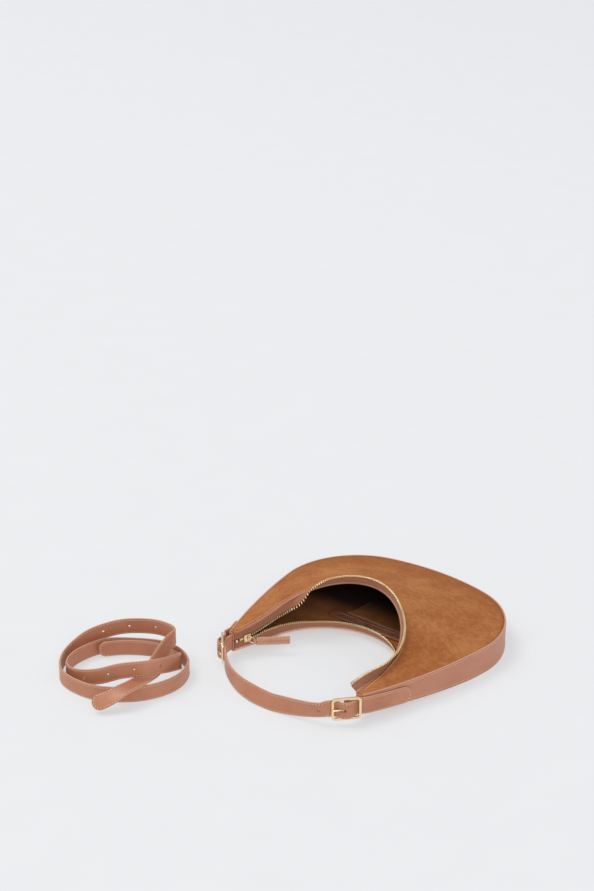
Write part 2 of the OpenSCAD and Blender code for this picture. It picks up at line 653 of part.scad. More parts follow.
// A strap's cross-section at one place of its path: [x, y, height of its middle, lean from upright]
function strap_ring(path, k, w, t) =
    let (n = len(path), a = path[max(0, k - 1)], b = path[min(n - 1, k + 1)], p = path[k],
        along = unit([b.x - a.x, b.y - a.y, b.z - a.z]), level = unit([along.y, -along.x, 0]),
        rise = cross(level, along), up = rise * cos(p[3]) + level * sin(p[3]), side = level * cos(p[3]) - rise * sin(p[3]),
        c = [p.x, p.y, p.z], h = up * w / 2, s = side * t / 2)
    [c - h - s, c + h - s, c + h + s, c - h + s];
function path_len(path, a, b) = a >= b ? 0 : norm([for (i = [0:2]) path[a + 1][i] - path[a][i]]) + path_len(path, a + 1, b);
function round_end(d, w) = d > w / 2 ? 1 : 0.35 + 0.65 * sqrt(1 - pow(1 - 2 * d / w, 2));

module strap(path, w, t) {
    n = len(path);
    last = 8;
    sweep([for (k = [0:n - 1]) let (d = k < last ? path_len(path, 0, k) : k > n - 1 - last ? path_len(path, k, n - 1) : w)
        strap_ring(path, k, w * round_end(d, w), t)]);
}

// A hole across a strap at a length from the start of its path
function path_place(path, s, k = 0) = let (d = path_len(path, k, k + 1))
    s > d && k < len(path) - 2 ? path_place(path, s - d, k + 1) : [k, s / d];
module strap_hole(path, s, t) {
    place = path_place(path, s);
    a = path[place[0]];
    b = path[place[0] + 1];
    p = mix(a, b, place[1]);
    translate([p.x, p.y, p.z]) rotate([90 + p[3], 0, atan2(b.y - a.y, b.x - a.x)])
        translate([0, 0, -t]) cylinder(h = 2 * t, r = hole_r, $fn = plain_sides);
}

spare_hole_l = 121;
slot_w = 2 * prong_r + 4 * run_gap;
slot_from_share = 0.65;
slot_to_share = 0.07;
module shoulder_strap() {
    color(leather) difference() {
        strap(strap_path, strap_w, strap_t);
        for (side = [-1, 1]) at_bar(side, buckle_turn_deg)
            translate([-slot_from_share * buckle_l / 2, under_y, -slot_w / 2])
                cube([(slot_from_share - slot_to_share) * buckle_l / 2, 2 * (over_y - under_y), slot_w]);
        strap_hole(strap_path, path_len(strap_path, 0, len(strap_path) - 1) - spare_hole_l, strap_t);
    }
}

// The long strap is coiled in its own frame, in shares of the coil's half width, half depth and the strap's
// width, the last number being its lean
coil_x = -174;
coil_y = -387.3;
coil_deg = 38.9;
coil_shares = [
    [-0.459, 0.763, 0.51, 0], [0, 0.86, 0.51, 0], [0.514, 0.737, 0.515, 0], [0.811, 0.351, 0.55, 0],
    [0.865, 0.035, 0.95, 0], [0.676, -0.491, 1.59, 0], [0.378, -0.754, 1.815, 0], [0, -0.737, 1.61, 0],
    [-0.338, -0.667, 1.15, 0], [-0.649, -0.491, 0.8, 0], [-0.851, -0.211, 0.6, 0],
    [-0.892, 0.14, 0.51, 0], [-0.757, 0.526, 0.51, 0], [-0.405, 0.912, 0.51, 0], [0, 0.965, 0.51, 0],
    [0.514, 0.86, 0.51, 0], [0.838, 0.561, 0.51, 0], [1, 0.105, 0.51, 0], [0.919, -0.386, 0.51, 0],
    [0.676, -0.737, 0.51, 0], [0.338, -0.947, 0.51, 0], [0, -1, 0.51, 0], [-0.378, -0.93, 0.51, 0],
    [-0.703, -0.684, 0.51, 0], [-0.932, -0.351, 0.51, 0], [-1, 0, 0.51, 0], [-0.973, 0.351, 0.6, 0],
    [-0.824, 0.667, 0.85, 0], [-0.568, 0.93, 1.2, 0], [-0.135, 1.088, 1.525, 0], [0.27, 1.105, 1.57, 0],
    [0.568, 0.982, 1.58, 0], [0.77, 0.702, 1.59, 0], [0.676, 0.351, 1.575, 15], [0.581, 0, 1.4, 30],
    [0.486, -0.386, 1.16, 60], [0.365, -0.702, 1.11, 86], [0.216, -0.947, 1.11, 88],
    [0.054, -1.14, 1.075, 84], [-0.162, -1.298, 0.775, 62], [-0.405, -1.386, 0.525, 45]];
coil_steps = 3;
function coil_pt(s) = let (x = s.x * coil_w / 2, y = s.y * coil_d / 2)
    [coil_x + x * cos(coil_deg) - y * sin(coil_deg), coil_y + x * sin(coil_deg) + y * cos(coil_deg), s.z * long_w, s[3]];
coil_knots = [for (s = coil_shares) coil_pt(s)];
function curve_pt(list, k, t) =
    let (a = list[max(0, k - 1)], b = list[k], c = list[min(len(list) - 1, k + 1)], d = list[min(len(list) - 1, k + 2)])
    0.5 * (2 * b + (c - a) * t + (2 * a - 5 * b + 4 * c - d) * t * t + (3 * b - a - 3 * c + d) * t * t * t);
coil_path = concat([for (k = [0:len(coil_knots) - 2], i = [0:coil_steps - 1]) curve_pt(coil_knots, k, i / coil_steps)],
    [coil_knots[len(coil_knots) - 1]]);

// The least gap between two turns, from points round one cross-section to lines along the other's sides
heights = 4;
sides = [for (k = [0:len(coil_path) - 1]) let (r = strap_ring(coil_path, k, long_w, long_t))
    [for (h = [0:heights]) each [mix(r[0], r[1], h / heights), mix(r[3], r[2], h / heights)]]];
mids = [for (r = sides) (r[heights] + r[heights + 1]) / 2];
function to_segment(p, a, b) = let (u = b - a, t = clamp01(((p - a) * u) / (u * u))) norm(p - a - u * t);
function self_gap() = min([for (i = [0:len(sides) - 1], j = [0:len(sides) - 2])
    if (abs(i - j) > 3 * coil_steps && norm(mids[i] - mids[j]) < 1.5 * long_w)
        min([for (p = sides[i], g = [0:2 * heights + 1]) to_segment(p, sides[j][g], sides[j + 1][g])])]);

first_hole_l = 170;
last_hole_l = 192;
module long_strap() {
    echo(long_strap_least_gap = self_gap());
    coil_l = path_len(coil_path, 0, len(coil_path) - 1);
    color(leather) difference() {
        strap(coil_path, long_w, long_t);
        for (k = [0:4]) strap_hole(coil_path, first_hole_l + k * hole_pitch, long_t);
        for (k = [0:2]) strap_hole(coil_path, coil_l - last_hole_l - k * hole_pitch, long_t);
    }
}

// The zipped pocket: its bag behind the lining, the tape under a leather frame, and two rows of teeth
function level_z(y) = lookup(y, [for (k = [0:roll_steps]) let (m = mix(mouth_y, flat_y, k / roll_steps)) [m, back_z(m)]]);
module level_strip(l, y0, y1, low, high) {
    ys = concat([y0], [for (k = [1:roll_steps]) let (m = mix(mouth_y, flat_y, k / roll_steps)) if (m > y0 && m < y1) m],
        [y1]);
    translate([-l / 2, 0, 0]) rotate([90, 0, 90]) linear_extrude(l) polygon(concat(
        [for (y = ys) [y, level_z(y) + low]], [for (k = [len(ys) - 1:-1:0]) [ys[k], level_z(ys[k]) + high]]));
}

module pocket_pouch() {
    pouch_y = mouth_y + 2 * binding_r;
    color(cloth) level_strip(pocket_l, pouch_y, pouch_y + pouch_h, pouch_z, pouch_z + pouch_t);
}

frame_z = pocket_mid_z + pocket_tape_t / 2 + layer_gap;
frame_t = panel_t * 0.75;
module pocket_frame() {
    outer_l = pocket_l + pocket_w;
    color(leather) at_pocket() translate([0, 0, frame_z]) linear_extrude(frame_t) difference() {
        rounded(outer_l, pocket_w, pocket_w / 4);
        square([pocket_l, 2 * slot_half], center = true);
    }
}

module pocket_tape() {
    inner = pocket_root + layer_gap / 2;
    color(tape_brown) at_pocket() for (side = [0, 1]) mirror([0, side, 0])
        translate([-pocket_l / 2 - pocket_w / 4, inner, pocket_mid_z - pocket_tape_t / 2])
            cube([pocket_l + pocket_w / 2, pocket_tape_half - inner, pocket_tape_t]);
}

pocket_count = floor(pocket_l / tooth_pitch) - 1;
module pocket_teeth() {
    color(gold) at_pocket() for (side = [0, 1], i = [0:pocket_count - 1]) mirror([0, side, 0])
        translate([(i - pocket_count / 2 + side / 2) * tooth_pitch, row_half, pocket_mid_z - pocket_tooth_t / 2])
            cube([tooth_w, pocket_tooth_l, pocket_tooth_t]);
}

pocket_slider_l = slider_l * 0.8;
pocket_wire_r = 0.5;
pocket_ring_l = 9;
pocket_ring_w = 5.6;
module at_pocket_slider() {
    at_pocket() translate([pocket_l / 2 - pocket_slider_l / 2 - run_gap, 0, pocket_mid_z]) rotate([0, 0, 180]) children();
}

module pocket_slider() {
    color(gold) at_pocket_slider()
        slider_body(pocket_slider_l, pocket_root, pocket_tooth_t / 2, pocket_tape_t / 2, pocket_plate_t, pocket_wire_r);
}

module pocket_puller() {
    color(gold) at_pocket_slider()
        translate([0, 0, pocket_tooth_t / 2 + 2 * run_gap + pocket_plate_t + pocket_wire_r])
            rotate([0, 180, 0]) wire_loop(pocket_ring_l, pocket_ring_w, 0, pocket_wire_r);
}

// The open pocket lies on the lining behind the zipped one, with a leather edge
slip_y = mix(slope_y, mouth_y, 0.5) + pocket_w / 2 + 6 * run_gap;
slip_t = lining_t;
trim_w = 3;
slip_z = back_stack + layer_gap;
module slip_pocket() {
    color(cloth) level_strip(slip_l, slip_y, slip_y + slip_h, slip_z, slip_z + slip_t);
}

module slip_trim() {
    low = slip_z + slip_t + layer_gap;
    color(leather) level_strip(slip_l, slip_y, slip_y + trim_w, low, low + frame_t);
}

front_panel();
back_panel();
gusset();
front_lining();
back_lining();
gusset_lining();
binding(true);  // front_binding
binding(false);  // back_binding
zip_tape(true);  // front_zip_tape
zip_tape(false);  // back_zip_tape
zip_teeth(true);  // front_zip_teeth
zip_teeth(false);  // back_zip_teeth
bottom_stop();
top_stops();
zip_slider();
zip_puller();
zip_pull_tab();
anchor(-1);  // left_anchor
anchor(1);  // right_anchor
buckle(-1);  // left_buckle
buckle(1);  // right_buckle
prong(-1);  // left_prong
prong(1);  // right_prong
shoulder_strap();
long_strap();
pocket_frame();
pocket_tape();
pocket_teeth();
pocket_slider();
pocket_puller();
pocket_pouch();
slip_pocket();
slip_trim();
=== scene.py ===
# Half moon bag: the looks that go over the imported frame
import bpy
import bmesh
import json
from bisect import bisect_right
from functools import partial
from math import sin, cos, pi, radians, degrees, atan2, acos, sqrt, floor
from mathutils import Matrix, Vector, noise


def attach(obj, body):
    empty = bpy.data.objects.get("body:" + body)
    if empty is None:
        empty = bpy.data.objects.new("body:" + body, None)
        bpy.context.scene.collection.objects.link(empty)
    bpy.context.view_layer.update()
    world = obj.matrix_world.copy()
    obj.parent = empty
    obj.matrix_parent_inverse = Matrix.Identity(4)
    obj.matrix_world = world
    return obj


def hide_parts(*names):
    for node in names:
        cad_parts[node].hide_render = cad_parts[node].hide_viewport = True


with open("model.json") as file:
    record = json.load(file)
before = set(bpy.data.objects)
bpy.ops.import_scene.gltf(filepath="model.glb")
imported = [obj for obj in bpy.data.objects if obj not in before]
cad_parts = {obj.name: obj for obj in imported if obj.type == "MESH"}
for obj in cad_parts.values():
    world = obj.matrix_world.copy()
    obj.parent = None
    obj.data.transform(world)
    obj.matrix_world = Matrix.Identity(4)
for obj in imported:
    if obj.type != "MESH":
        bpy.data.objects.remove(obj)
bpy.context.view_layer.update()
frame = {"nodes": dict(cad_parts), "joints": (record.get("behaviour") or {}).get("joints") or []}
joints = {joint["name"]: joint for joint in frame["joints"]}
mm = 0.001  # shapes are worked out in millimetres, and Blender takes metres
print("frame loaded")


def addObject(name, data):
    made = bpy.data.objects.new(name, data)
    bpy.context.scene.collection.objects.link(made)
    return made


# Camera: where the photograph was taken from, in millimetres and degrees
view = {"place": (1240.6, -1821.4, 1205.7), "turn": 38.9, "tilt": 24.445, "lens": 80.8, "sensor": 36.0,
        "metresSeen": 60}

camera = addObject("camera", bpy.data.cameras.new("camera"))
camera.data.sensor_fit = "VERTICAL"  # the picture is taller than it is wide
camera.data.sensor_height = view["sensor"]
camera.data.sensor_width = view["sensor"]
camera.data.lens = view["lens"]
camera.data.clip_end = view["metresSeen"]
camera.location = Vector(view["place"]) * mm
camera.rotation_euler = (radians(90 - view["tilt"]), 0, radians(view["turn"]))
bpy.context.scene.camera = camera
print("camera placed")


# Materials
def fromHex(code):
    parts = [int(code[i:i + 2], 16) / 255 for i in (1, 3, 5)]
    return tuple(c / 12.92 if c <= 0.04045 else ((c + 0.055) / 1.055) ** 2.4 for c in parts) + (1.0,)


def perMetre(size):
    # a pattern of this size in millimetres, as a texture scale on metres
    return 1000.0 / size


def addNode(tree, kind, inputs=None, stops=None, **settings):
    # an input is a value, an output or a node, which gives its first output. A ramp's stops are its places,
    # each with a hex colour or with a number for a grey
    made = tree.nodes.new("ShaderNode" + kind)
    for name, value in settings.items():
        setattr(made, name, value)
    if stops:
        ramp = made.color_ramp
        while len(ramp.elements) < len(stops):
            ramp.elements.new(0.5)
        for element, (place, colour) in zip(ramp.elements, stops):
            element.position = place
            element.color = fromHex(colour) if isinstance(colour, str) else (colour, colour, colour, 1.0)
    for name, value in (inputs or {}).items():
        if isinstance(value, bpy.types.Node):
            value = value.outputs[0]
        if isinstance(value, bpy.types.NodeSocket):
            tree.links.new(value, made.inputs[name])
        else:
            made.inputs[name].default_value = value
    return made


def startMaterial(name, coordinates="Object"):
    # the material, what adds a node to it, and the coordinates that its patterns lie on
    made = bpy.data.materials.new(name)
    made.use_nodes = True
    made.node_tree.nodes.clear()
    add = partial(addNode, made.node_tree)
    return made, add, add("TexCoord").outputs[coordinates]


def finishMaterial(add, inputs, height, strength, depth, under=None):
    # a relief of so many millimetres, which may lie on another one, the shader and the output
    relief = {"Height": height, "Strength": strength, "Distance": depth * mm}
    if under is not None:
        relief["Normal"] = under
    add("OutputMaterial", {"Surface": add("BsdfPrincipled", {**inputs, "Normal": add("Bump", relief)})})


# Sizes of patterns are in millimetres. A colour Mix node's inputs are 0 factor, 6 first colour and 7 second
# colour, and its colour comes out of 2
suedeLook = {"dark": "#9A5C33", "mid": "#AB6739", "light": "#C38250", "sheen": "#E0A070", "patch": 30.0,
             "cloud": 120.0, "brushed": 4.5, "brushTurn": 0.5, "brushStretch": (0.85, 1.1, 1.0), "nap": 1.3,
             "speck": 0.66, "paintedLightWay": (-0.25, -0.3, 0)}


def makeSuede():
    # Suede, sanded on its flesh side: a matt nap that lies lighter or darker where a hand has brushed it. The
    # nap is drawn about three times as coarse as it is, so that it shows
    made, add, place = startMaterial("nappedSuede")
    slanted = add("Mapping", {"Vector": place, "Rotation": (0, 0, suedeLook["brushTurn"]),
                              "Scale": suedeLook["brushStretch"]})
    patch = add("TexNoise", {"Vector": place, "Scale": perMetre(suedeLook["patch"]), "Detail": 4.0,
                             "Roughness": 0.6})
    cloud = add("TexNoise", {"Vector": place, "Scale": perMetre(suedeLook["cloud"]), "Detail": 1.0})
    brushed = add("TexNoise", {"Vector": slanted, "Scale": perMetre(suedeLook["brushed"]), "Detail": 5.0,
                               "Roughness": 0.65})
    nap = add("TexNoise", {"Vector": place, "Scale": perMetre(suedeLook["nap"]), "Detail": 3.0,
                           "Roughness": 0.7})
    slow = add("Math", {0: patch, 1: cloud}, operation="ADD")
    fast = add("Math", {0: brushed, 1: slow}, operation="ADD")
    mean = add("Math", {0: fast, 1: 0.3333}, operation="MULTIPLY")
    # painted light: the colour is a little lighter towards the horns, and most of all at the left one, as if
    # lit from the upper left
    paintedLightWay = add("VectorMath", {0: place, 1: suedeLook["paintedLightWay"]}, operation="DOT_PRODUCT")
    paintedLitLevel = add("Math", {0: mean, 1: paintedLightWay.outputs["Value"]}, operation="ADD")
    tone = add("ValToRGB", {"Fac": paintedLitLevel},
               stops=[(0.37, suedeLook["dark"]), (0.5, suedeLook["mid"]), (0.63, suedeLook["light"])])
    speck = add("ValToRGB", {"Fac": nap}, stops=[(0.3, suedeLook["speck"]), (0.7, 1.0)])
    colour = add("Mix", {0: 0.7, 6: tone, 7: speck}, data_type="RGBA", blend_type="MULTIPLY")
    finishMaterial(add, {"Base Color": colour.outputs[2], "Roughness": 0.95, "Sheen Weight": 0.22,
                         "Sheen Roughness": 0.5, "Sheen Tint": fromHex(suedeLook["sheen"]),
                         "Specular IOR Level": 0.12}, nap, 0.5, 0.6)
    return made


leatherLook = {"grain": 1.3, "cloud": 38.0, "crease": 5.0, "pore": 0.82, "smoothest": 0.34, "roughest": 0.48}


def makeLeather(name, dark, light):
    # Smooth calf leather, finished in a rosy tan: a fine pebble under a satin top coat. The pebble is drawn
    # about twice its size, so that it shows
    made, add, place = startMaterial(name)
    cloud = add("TexNoise", {"Vector": place, "Scale": perMetre(leatherLook["cloud"]), "Detail": 4.0,
                             "Roughness": 0.6})
    pebble = add("TexVoronoi", {"Vector": place, "Scale": perMetre(leatherLook["grain"])},
                 feature="SMOOTH_F1")
    crease = add("TexNoise", {"Vector": place, "Scale": perMetre(leatherLook["crease"]), "Detail": 5.0})
    tone = add("ValToRGB", {"Fac": cloud}, stops=[(0.32, dark), (0.62, light)])
    dip = add("ValToRGB", {"Fac": pebble}, stops=[(0.1, 1.0), (0.75, leatherLook["pore"])])
    colour = add("Mix", {0: 0.7, 6: tone, 7: dip}, data_type="RGBA", blend_type="MULTIPLY")
    rough = add("MapRange", {"Value": crease, "To Min": leatherLook["smoothest"],
                             "To Max": leatherLook["roughest"]})
    fine = add("Bump", {"Height": pebble, "Strength": 0.3, "Distance": 0.2 * mm}, invert=True)
    finishMaterial(add, {"Base Color": colour.outputs[2], "Roughness": rough,
                         "Specular IOR Level": 0.5}, crease, 0.25, 0.6, fine)
    return made


edgeLook = {"dark": "#BC8468", "light": "#E0AC90", "fibre": 0.8}


def makeLeatherEdge():
    # Cut leather edge, sanded and waxed: paler than the face, with the fibres just showing
    made, add, place = startMaterial("waxedLeatherEdge")
    fibre = add("TexNoise", {"Vector": place, "Scale": perMetre(edgeLook["fibre"]), "Detail": 4.0,
                             "Roughness": 0.7})
    tone = add("ValToRGB", {"Fac": fibre}, stops=[(0.3, edgeLook["dark"]), (0.7, edgeLook["light"])])
    finishMaterial(add, {"Base Color": tone, "Roughness": 0.62}, fibre, 0.3, 0.3)
    return made


liningLook = {"cloud": 24.0, "nap": 0.7, "deepest": 0.1}


def makeLining(name, dark, light, litTo, darkFrom):
    # Brushed microsuede lining: brown, quite matt, with faint brushed clouds. Its colour carries painted
    # shade that deepens between two places along Y, litTo and darkFrom, to near black deep in the bag
    made, add, place = startMaterial(name)
    cloud = add("TexNoise", {"Vector": place, "Scale": perMetre(liningLook["cloud"]), "Detail": 3.0})
    nap = add("TexNoise", {"Vector": place, "Scale": perMetre(liningLook["nap"]), "Detail": 2.0})
    tone = add("ValToRGB", {"Fac": cloud}, stops=[(0.35, dark), (0.65, light)])
    parts = add("SeparateXYZ", {"Vector": place})
    # painted shade: the colour darkens along Y, from full at litTo to its deepest share at darkFrom
    depth = add("MapRange", {"Value": parts.outputs["Y"], "From Min": litTo * mm,
                             "From Max": darkFrom * mm, "To Min": 1.0,
                             "To Max": liningLook["deepest"]}, interpolation_type="SMOOTHSTEP")
    colour = add("Mix", {0: 1.0, 6: tone, 7: depth}, data_type="RGBA", blend_type="MULTIPLY")
    finishMaterial(add, {"Base Color": colour.outputs[2], "Roughness": 0.97, "Sheen Weight": 0.08,
                         "Specular IOR Level": 0.1}, nap, 0.25, 0.3)
    return made


tapeLook = {"dark": "#8A533A", "light": "#BE8160", "rib": 1.1, "herringbone": 2.2, "fibre": 0.6}


def makeTape():
    # Woven polyester zip tape: a herringbone of fine ribs, drawn at about twice its size so that it shows
    made, add, place = startMaterial("wovenZipTape", "UV")
    parts = add("SeparateXYZ", {"Vector": place})
    across = add("Math", {0: parts.outputs["Y"], 1: tapeLook["herringbone"] * mm}, operation="PINGPONG")
    slant = add("Math", {0: parts.outputs["X"], 1: across}, operation="ADD")
    ribs = add("Math", {0: slant, 1: perMetre(tapeLook["rib"]) * 2 * pi}, operation="MULTIPLY")
    wave = add("Math", {0: ribs}, operation="SINE")
    fibre = add("TexNoise", {"Vector": place, "Scale": perMetre(tapeLook["fibre"]), "Detail": 2.0})
    level = add("MapRange", {"Value": wave, "From Min": -1.0, "From Max": 1.0})
    mixed = add("Math", {0: level, 1: fibre}, operation="MULTIPLY")
    tone = add("ValToRGB", {"Fac": mixed}, stops=[(0.08, tapeLook["dark"]), (0.5, tapeLook["light"])])
    finishMaterial(add, {"Base Color": tone, "Roughness": 0.85, "Sheen Weight": 0.15}, mixed, 0.5, 0.3)
    return made


threadLook = {"ply": 0.35}


def makeThread(name, dark, light):
    # Twisted polyester thread: a little shiny along each ply
    made, add, place = startMaterial(name)
    ply = add("TexNoise", {"Vector": place, "Scale": perMetre(threadLook["ply"]), "Detail": 1.0})
    tone = add("ValToRGB", {"Fac": ply}, stops=[(0.3, dark), (0.7, light)])
    finishMaterial(add, {"Base Color": tone, "Roughness": 0.55}, ply, 0.4, 0.1)
    return made


goldLook = {"wave": 9.0, "hairline": 0.5, "smoother": 0.06, "rougher": 0.08}


def makeGold(name, tint, bright, rough):
    # Zinc alloy with a pale gold plating, polished: bright, with the faint waves and hairlines of polishing
    made, add, place = startMaterial(name)
    wave = add("TexNoise", {"Vector": place, "Scale": perMetre(goldLook["wave"]), "Detail": 2.0})
    hair = add("TexNoise", {"Vector": place, "Scale": perMetre(goldLook["hairline"]), "Detail": 3.0})
    tone = add("ValToRGB", {"Fac": wave}, stops=[(0.3, tint), (0.7, bright)])
    shine = add("MapRange", {"Value": hair, "To Min": rough - goldLook["smoother"],
                             "To Max": rough + goldLook["rougher"]})
    finishMaterial(add, {"Base Color": tone, "Metallic": 1.0, "Roughness": shine}, wave, 0.08, 0.4)
    return made


paperLook = {"dark": "#A0A1A3", "light": "#A2A3A5", "tooth": 60.0, "glow": "#F4F6F9", "glowPower": 0.53}


def makePaper():
    # Matt studio paper, lit from below as on a light table, so that shadows on it stay faint
    made, add, place = startMaterial("studioPaper")
    tooth = add("TexNoise", {"Vector": place, "Scale": perMetre(paperLook["tooth"]), "Detail": 2.0})
    tone = add("ValToRGB", {"Fac": tooth}, stops=[(0.3, paperLook["dark"]), (0.7, paperLook["light"])])
    shader = add("BsdfPrincipled", {"Base Color": tone, "Roughness": 0.9,
                                    "Specular IOR Level": 0.1, "Emission Color": fromHex(paperLook["glow"]),
                                    "Emission Strength": paperLook["glowPower"]})
    add("OutputMaterial", {"Surface": shader})
    return made


suede = makeSuede()
leather = makeLeather("satinCalfLeather", "#C18165", "#C9886C")
strapLeather = makeLeather("satinStrapLeather", "#BA7858", "#C98767")
# a paler copy of the calf leather: painted light on the back edging's top and on the slip pocket's trim
litTrimLeather = makeLeather("paintedLightTrimLeather", "#DDA084", "#E8B49A")
tabLeather = makeLeather("satinTabLeather", "#CF9072", "#DA9C80")
# a darker copy of the calf leather: painted shade on the pocket frame deep in the bag
shadedPocketLeather = makeLeather("satinPocketLeatherPaintedShade", "#A8694C", "#BC8064")
# a darker copy of the calf leather: painted shade on the front edging under the arch
shadedEdgingLeather = makeLeather("satinEdgingLeatherPaintedShade", "#B5745A", "#C38468")
leatherEdge = makeLeatherEdge()
lining = makeLining("brushedMicrosuede", "#A45E2A", "#C07A3E", -122, -84)
slipLining = makeLining("brushedSlipMicrosuede", "#A4602C", "#C07C40", -98, -66)
# the same microsuede, darker: painted shade for the front and gusset linings inside the bag
paintedShadeLining = makeLining("brushedMicrosuedePaintedShade", "#48290F", "#5C3719", -122, -84)
wovenTape = makeTape()
paleThread = makeThread("paleTanThread", "#E4B68C", "#FADDB8")
rosyThread = makeThread("rosyTanThread", "#E4B99C", "#F8DEC6")
# the needle holes between stitches: a dark colour that is painted shade in the holes
needleHoleShade = makeThread("shadedNeedleHole", "#6E3E2A", "#86523C")
gold = makeGold("palePlatedGold", "#F8D8A4", "#FFEDCB", 0.26)
toothGold = makeGold("brightToothGold", "#FFDC98", "#FFF0CC", 0.18)
dullGold = makeGold("brushedPocketGold", "#FFE09A", "#FFF0C8", 0.5)
print("materials made")

# The bag's outline and mouth in millimetres and degrees, as the part's source draws them
bag = {"height": 142.0, "bellyRadius": 290.0, "bellyTurn": 14.0, "shoulderRadius": 102.0,
       "flankRadius": 640.0, "hornWidth": 6.6, "hornSwing": 6.0, "hornLead": 8.0, "mouthRadius": 88.0,
       "mouthTurn": 80.5, "mouthSide": 68.0, "archLift": 40.0, "archPull": 3.5, "archLeft": 1.04,
       "archRight": 0.82, "depth": 34.0, "hornDepth": 23.5, "hornLift": 9.0, "backLift": 6.4, "gusset": 2.0,
       "panel": 1.6, "lining": 0.8, "edging": 1.6, "gap": 0.2, "levelHalf": 70.2}


def mix(a, b, share):
    return a * (1 - share) + b * share


def onArc(centre, radius, turn):
    return centre + radius * Vector((sin(radians(turn)), cos(radians(turn))))


def lookUp(value, table):
    if value <= table[0][0]:
        return table[0][1]
    for (a, low), (b, high) in zip(table[:-1], table[1:]):
        if value <= b:
            return mix(low, high, (value - a) / (b - a))
    return table[-1][1]


def acrossBag(steps):
    # even places from -1 at the left horn to 1 at the right horn
    return [2 * k / steps - 1 for k in range(steps + 1)]


bellyTop = bag["gusset"] / 2
bellyCentre = Vector((0, bellyTop - bag["bellyRadius"]))
shoulderCentre = onArc(bellyCentre, bag["bellyRadius"] - bag["shoulderRadius"], bag["bellyTurn"])
mouthTop = bellyTop - bag["height"]
mouthCentre = Vector((0, mouthTop - bag["mouthRadius"]))
sideWay = Vector((cos(radians(bag["mouthTurn"])), -sin(radians(bag["mouthTurn"]))))
mouthEnd = onArc(mouthCentre, bag["mouthRadius"], bag["mouthTurn"]) + bag["mouthSide"] * sideWay
hornTip = mouthEnd + Vector((bag["hornWidth"], 0))
flankMore = bag["flankRadius"] - bag["shoulderRadius"]
toHorn = hornTip - shoulderCentre
turnTop = bag["flankRadius"] ** 2 - flankMore ** 2 - toHorn.length_squared
turnShare = turnTop / (2 * flankMore * toHorn.length)
bendTurn = degrees(atan2(toHorn.x, toHorn.y) - acos(turnShare))
flankCentre = onArc(shoulderCentre, -flankMore, bendTurn)
flankTurn = degrees(acos((hornTip.y - flankCentre.y) / bag["flankRadius"]))
bellyLength = bag["bellyRadius"] * radians(bag["bellyTurn"])
bendLength = bellyLength + bag["shoulderRadius"] * radians(bendTurn - bag["bellyTurn"])
rimLength = bendLength + bag["flankRadius"] * radians(flankTurn - bendTurn)
arcLength = bag["mouthRadius"] * radians(bag["mouthTurn"])
mouthLength = arcLength + bag["mouthSide"]
rimInset = bag["gusset"] + bag["gap"]


def taper(y):
    # 0 at the middle of the mouth's edge, 1 at the horns' tips
    return max(0.0, (mouthTop - y) / (mouthTop - hornTip.y))


def lieOver(spot):
    # the horns lie a little to the left, the right one ahead of the left one
    share = min(1.0, taper(spot.y)) ** 2
    return Vector((spot.x - share * bag["hornSwing"], spot.y - share * bag["hornLead"] * spot.x / hornTip.x))


def standUp(spot):
    # where a place was before lieOver moved it, found in a few rounds
    base = spot.copy()
    for _ in range(4):
        share = min(1.0, taper(base.y)) ** 2
        ahead = share * bag["hornLead"] * base.x / hornTip.x
        base = Vector((spot.x + share * bag["hornSwing"], spot.y + ahead))
    return base


def rim(q, inset):
    # q runs from -1 at the left horn through 0 at the middle to 1 at the right horn
    along = abs(q) * rimLength
    if along < bellyLength:
        spot = onArc(bellyCentre, bag["bellyRadius"] - inset, degrees(along / bag["bellyRadius"]))
    elif along < bendLength:
        turn = bag["bellyTurn"] + degrees((along - bellyLength) / bag["shoulderRadius"])
        spot = onArc(shoulderCentre, bag["shoulderRadius"] - inset, turn)
    else:
        turn = bendTurn + degrees((along - bendLength) / bag["flankRadius"])
        spot = onArc(flankCentre, bag["flankRadius"] - inset, turn)
    return lieOver(Vector((-spot.x if q < 0 else spot.x, spot.y)))


def mouth(q, grow):
    along = abs(q) * mouthLength
    if along < arcLength:
        spot = onArc(mouthCentre, bag["mouthRadius"] + grow, degrees(along / bag["mouthRadius"]))
    else:
        spot = onArc(mouthCentre, bag["mouthRadius"] + grow, bag["mouthTurn"]) + (along - arcLength) * sideWay
    return lieOver(Vector((-spot.x if q < 0 else spot.x, spot.y)))


# the heights of the rim's two edges, and of the back panel's middle
def rimLow(y):
    return bag["hornLift"] * taper(y)


def rimHigh(y):
    return mix(bag["depth"], bag["hornLift"] + bag["hornDepth"], taper(y))


def backHeight(y):
    flat = mouthTop + bag["height"] / 2
    if y > flat:
        return 0.0
    if y > mouthTop:
        return bag["backLift"] * ((flat - y) / (flat - mouthTop)) ** 2
    return mix(bag["backLift"], bag["hornLift"], taper(y))


def arch(q):
    # the front edge's rise over the mouth, 1 in the middle and 0 towards the horns
    share = min(1.0, abs(q) / (bag["archLeft"] if q < 0 else bag["archRight"]))
    return cos(radians(90 * share)) ** 2


def frontEdgeHeight(q):
    return bag["hornLift"] + bag["hornDepth"] + bag["panel"] + bag["archLift"] * arch(q)


def frontMouth(q, grow):
    return mouth(q, grow + bag["archPull"] * arch(q) ** 2)


# the front skin's broad swells and small dents, in millimetres, and how soon it falls from the mouth
skin = {"swellWide": 62, "swellDeep": 48, "swellHigh": 0.9, "swellSeed": 3.1, "dentWide": 23,
        "dentHigh": 0.25, "dentSeed": 8, "fall": 1.2}


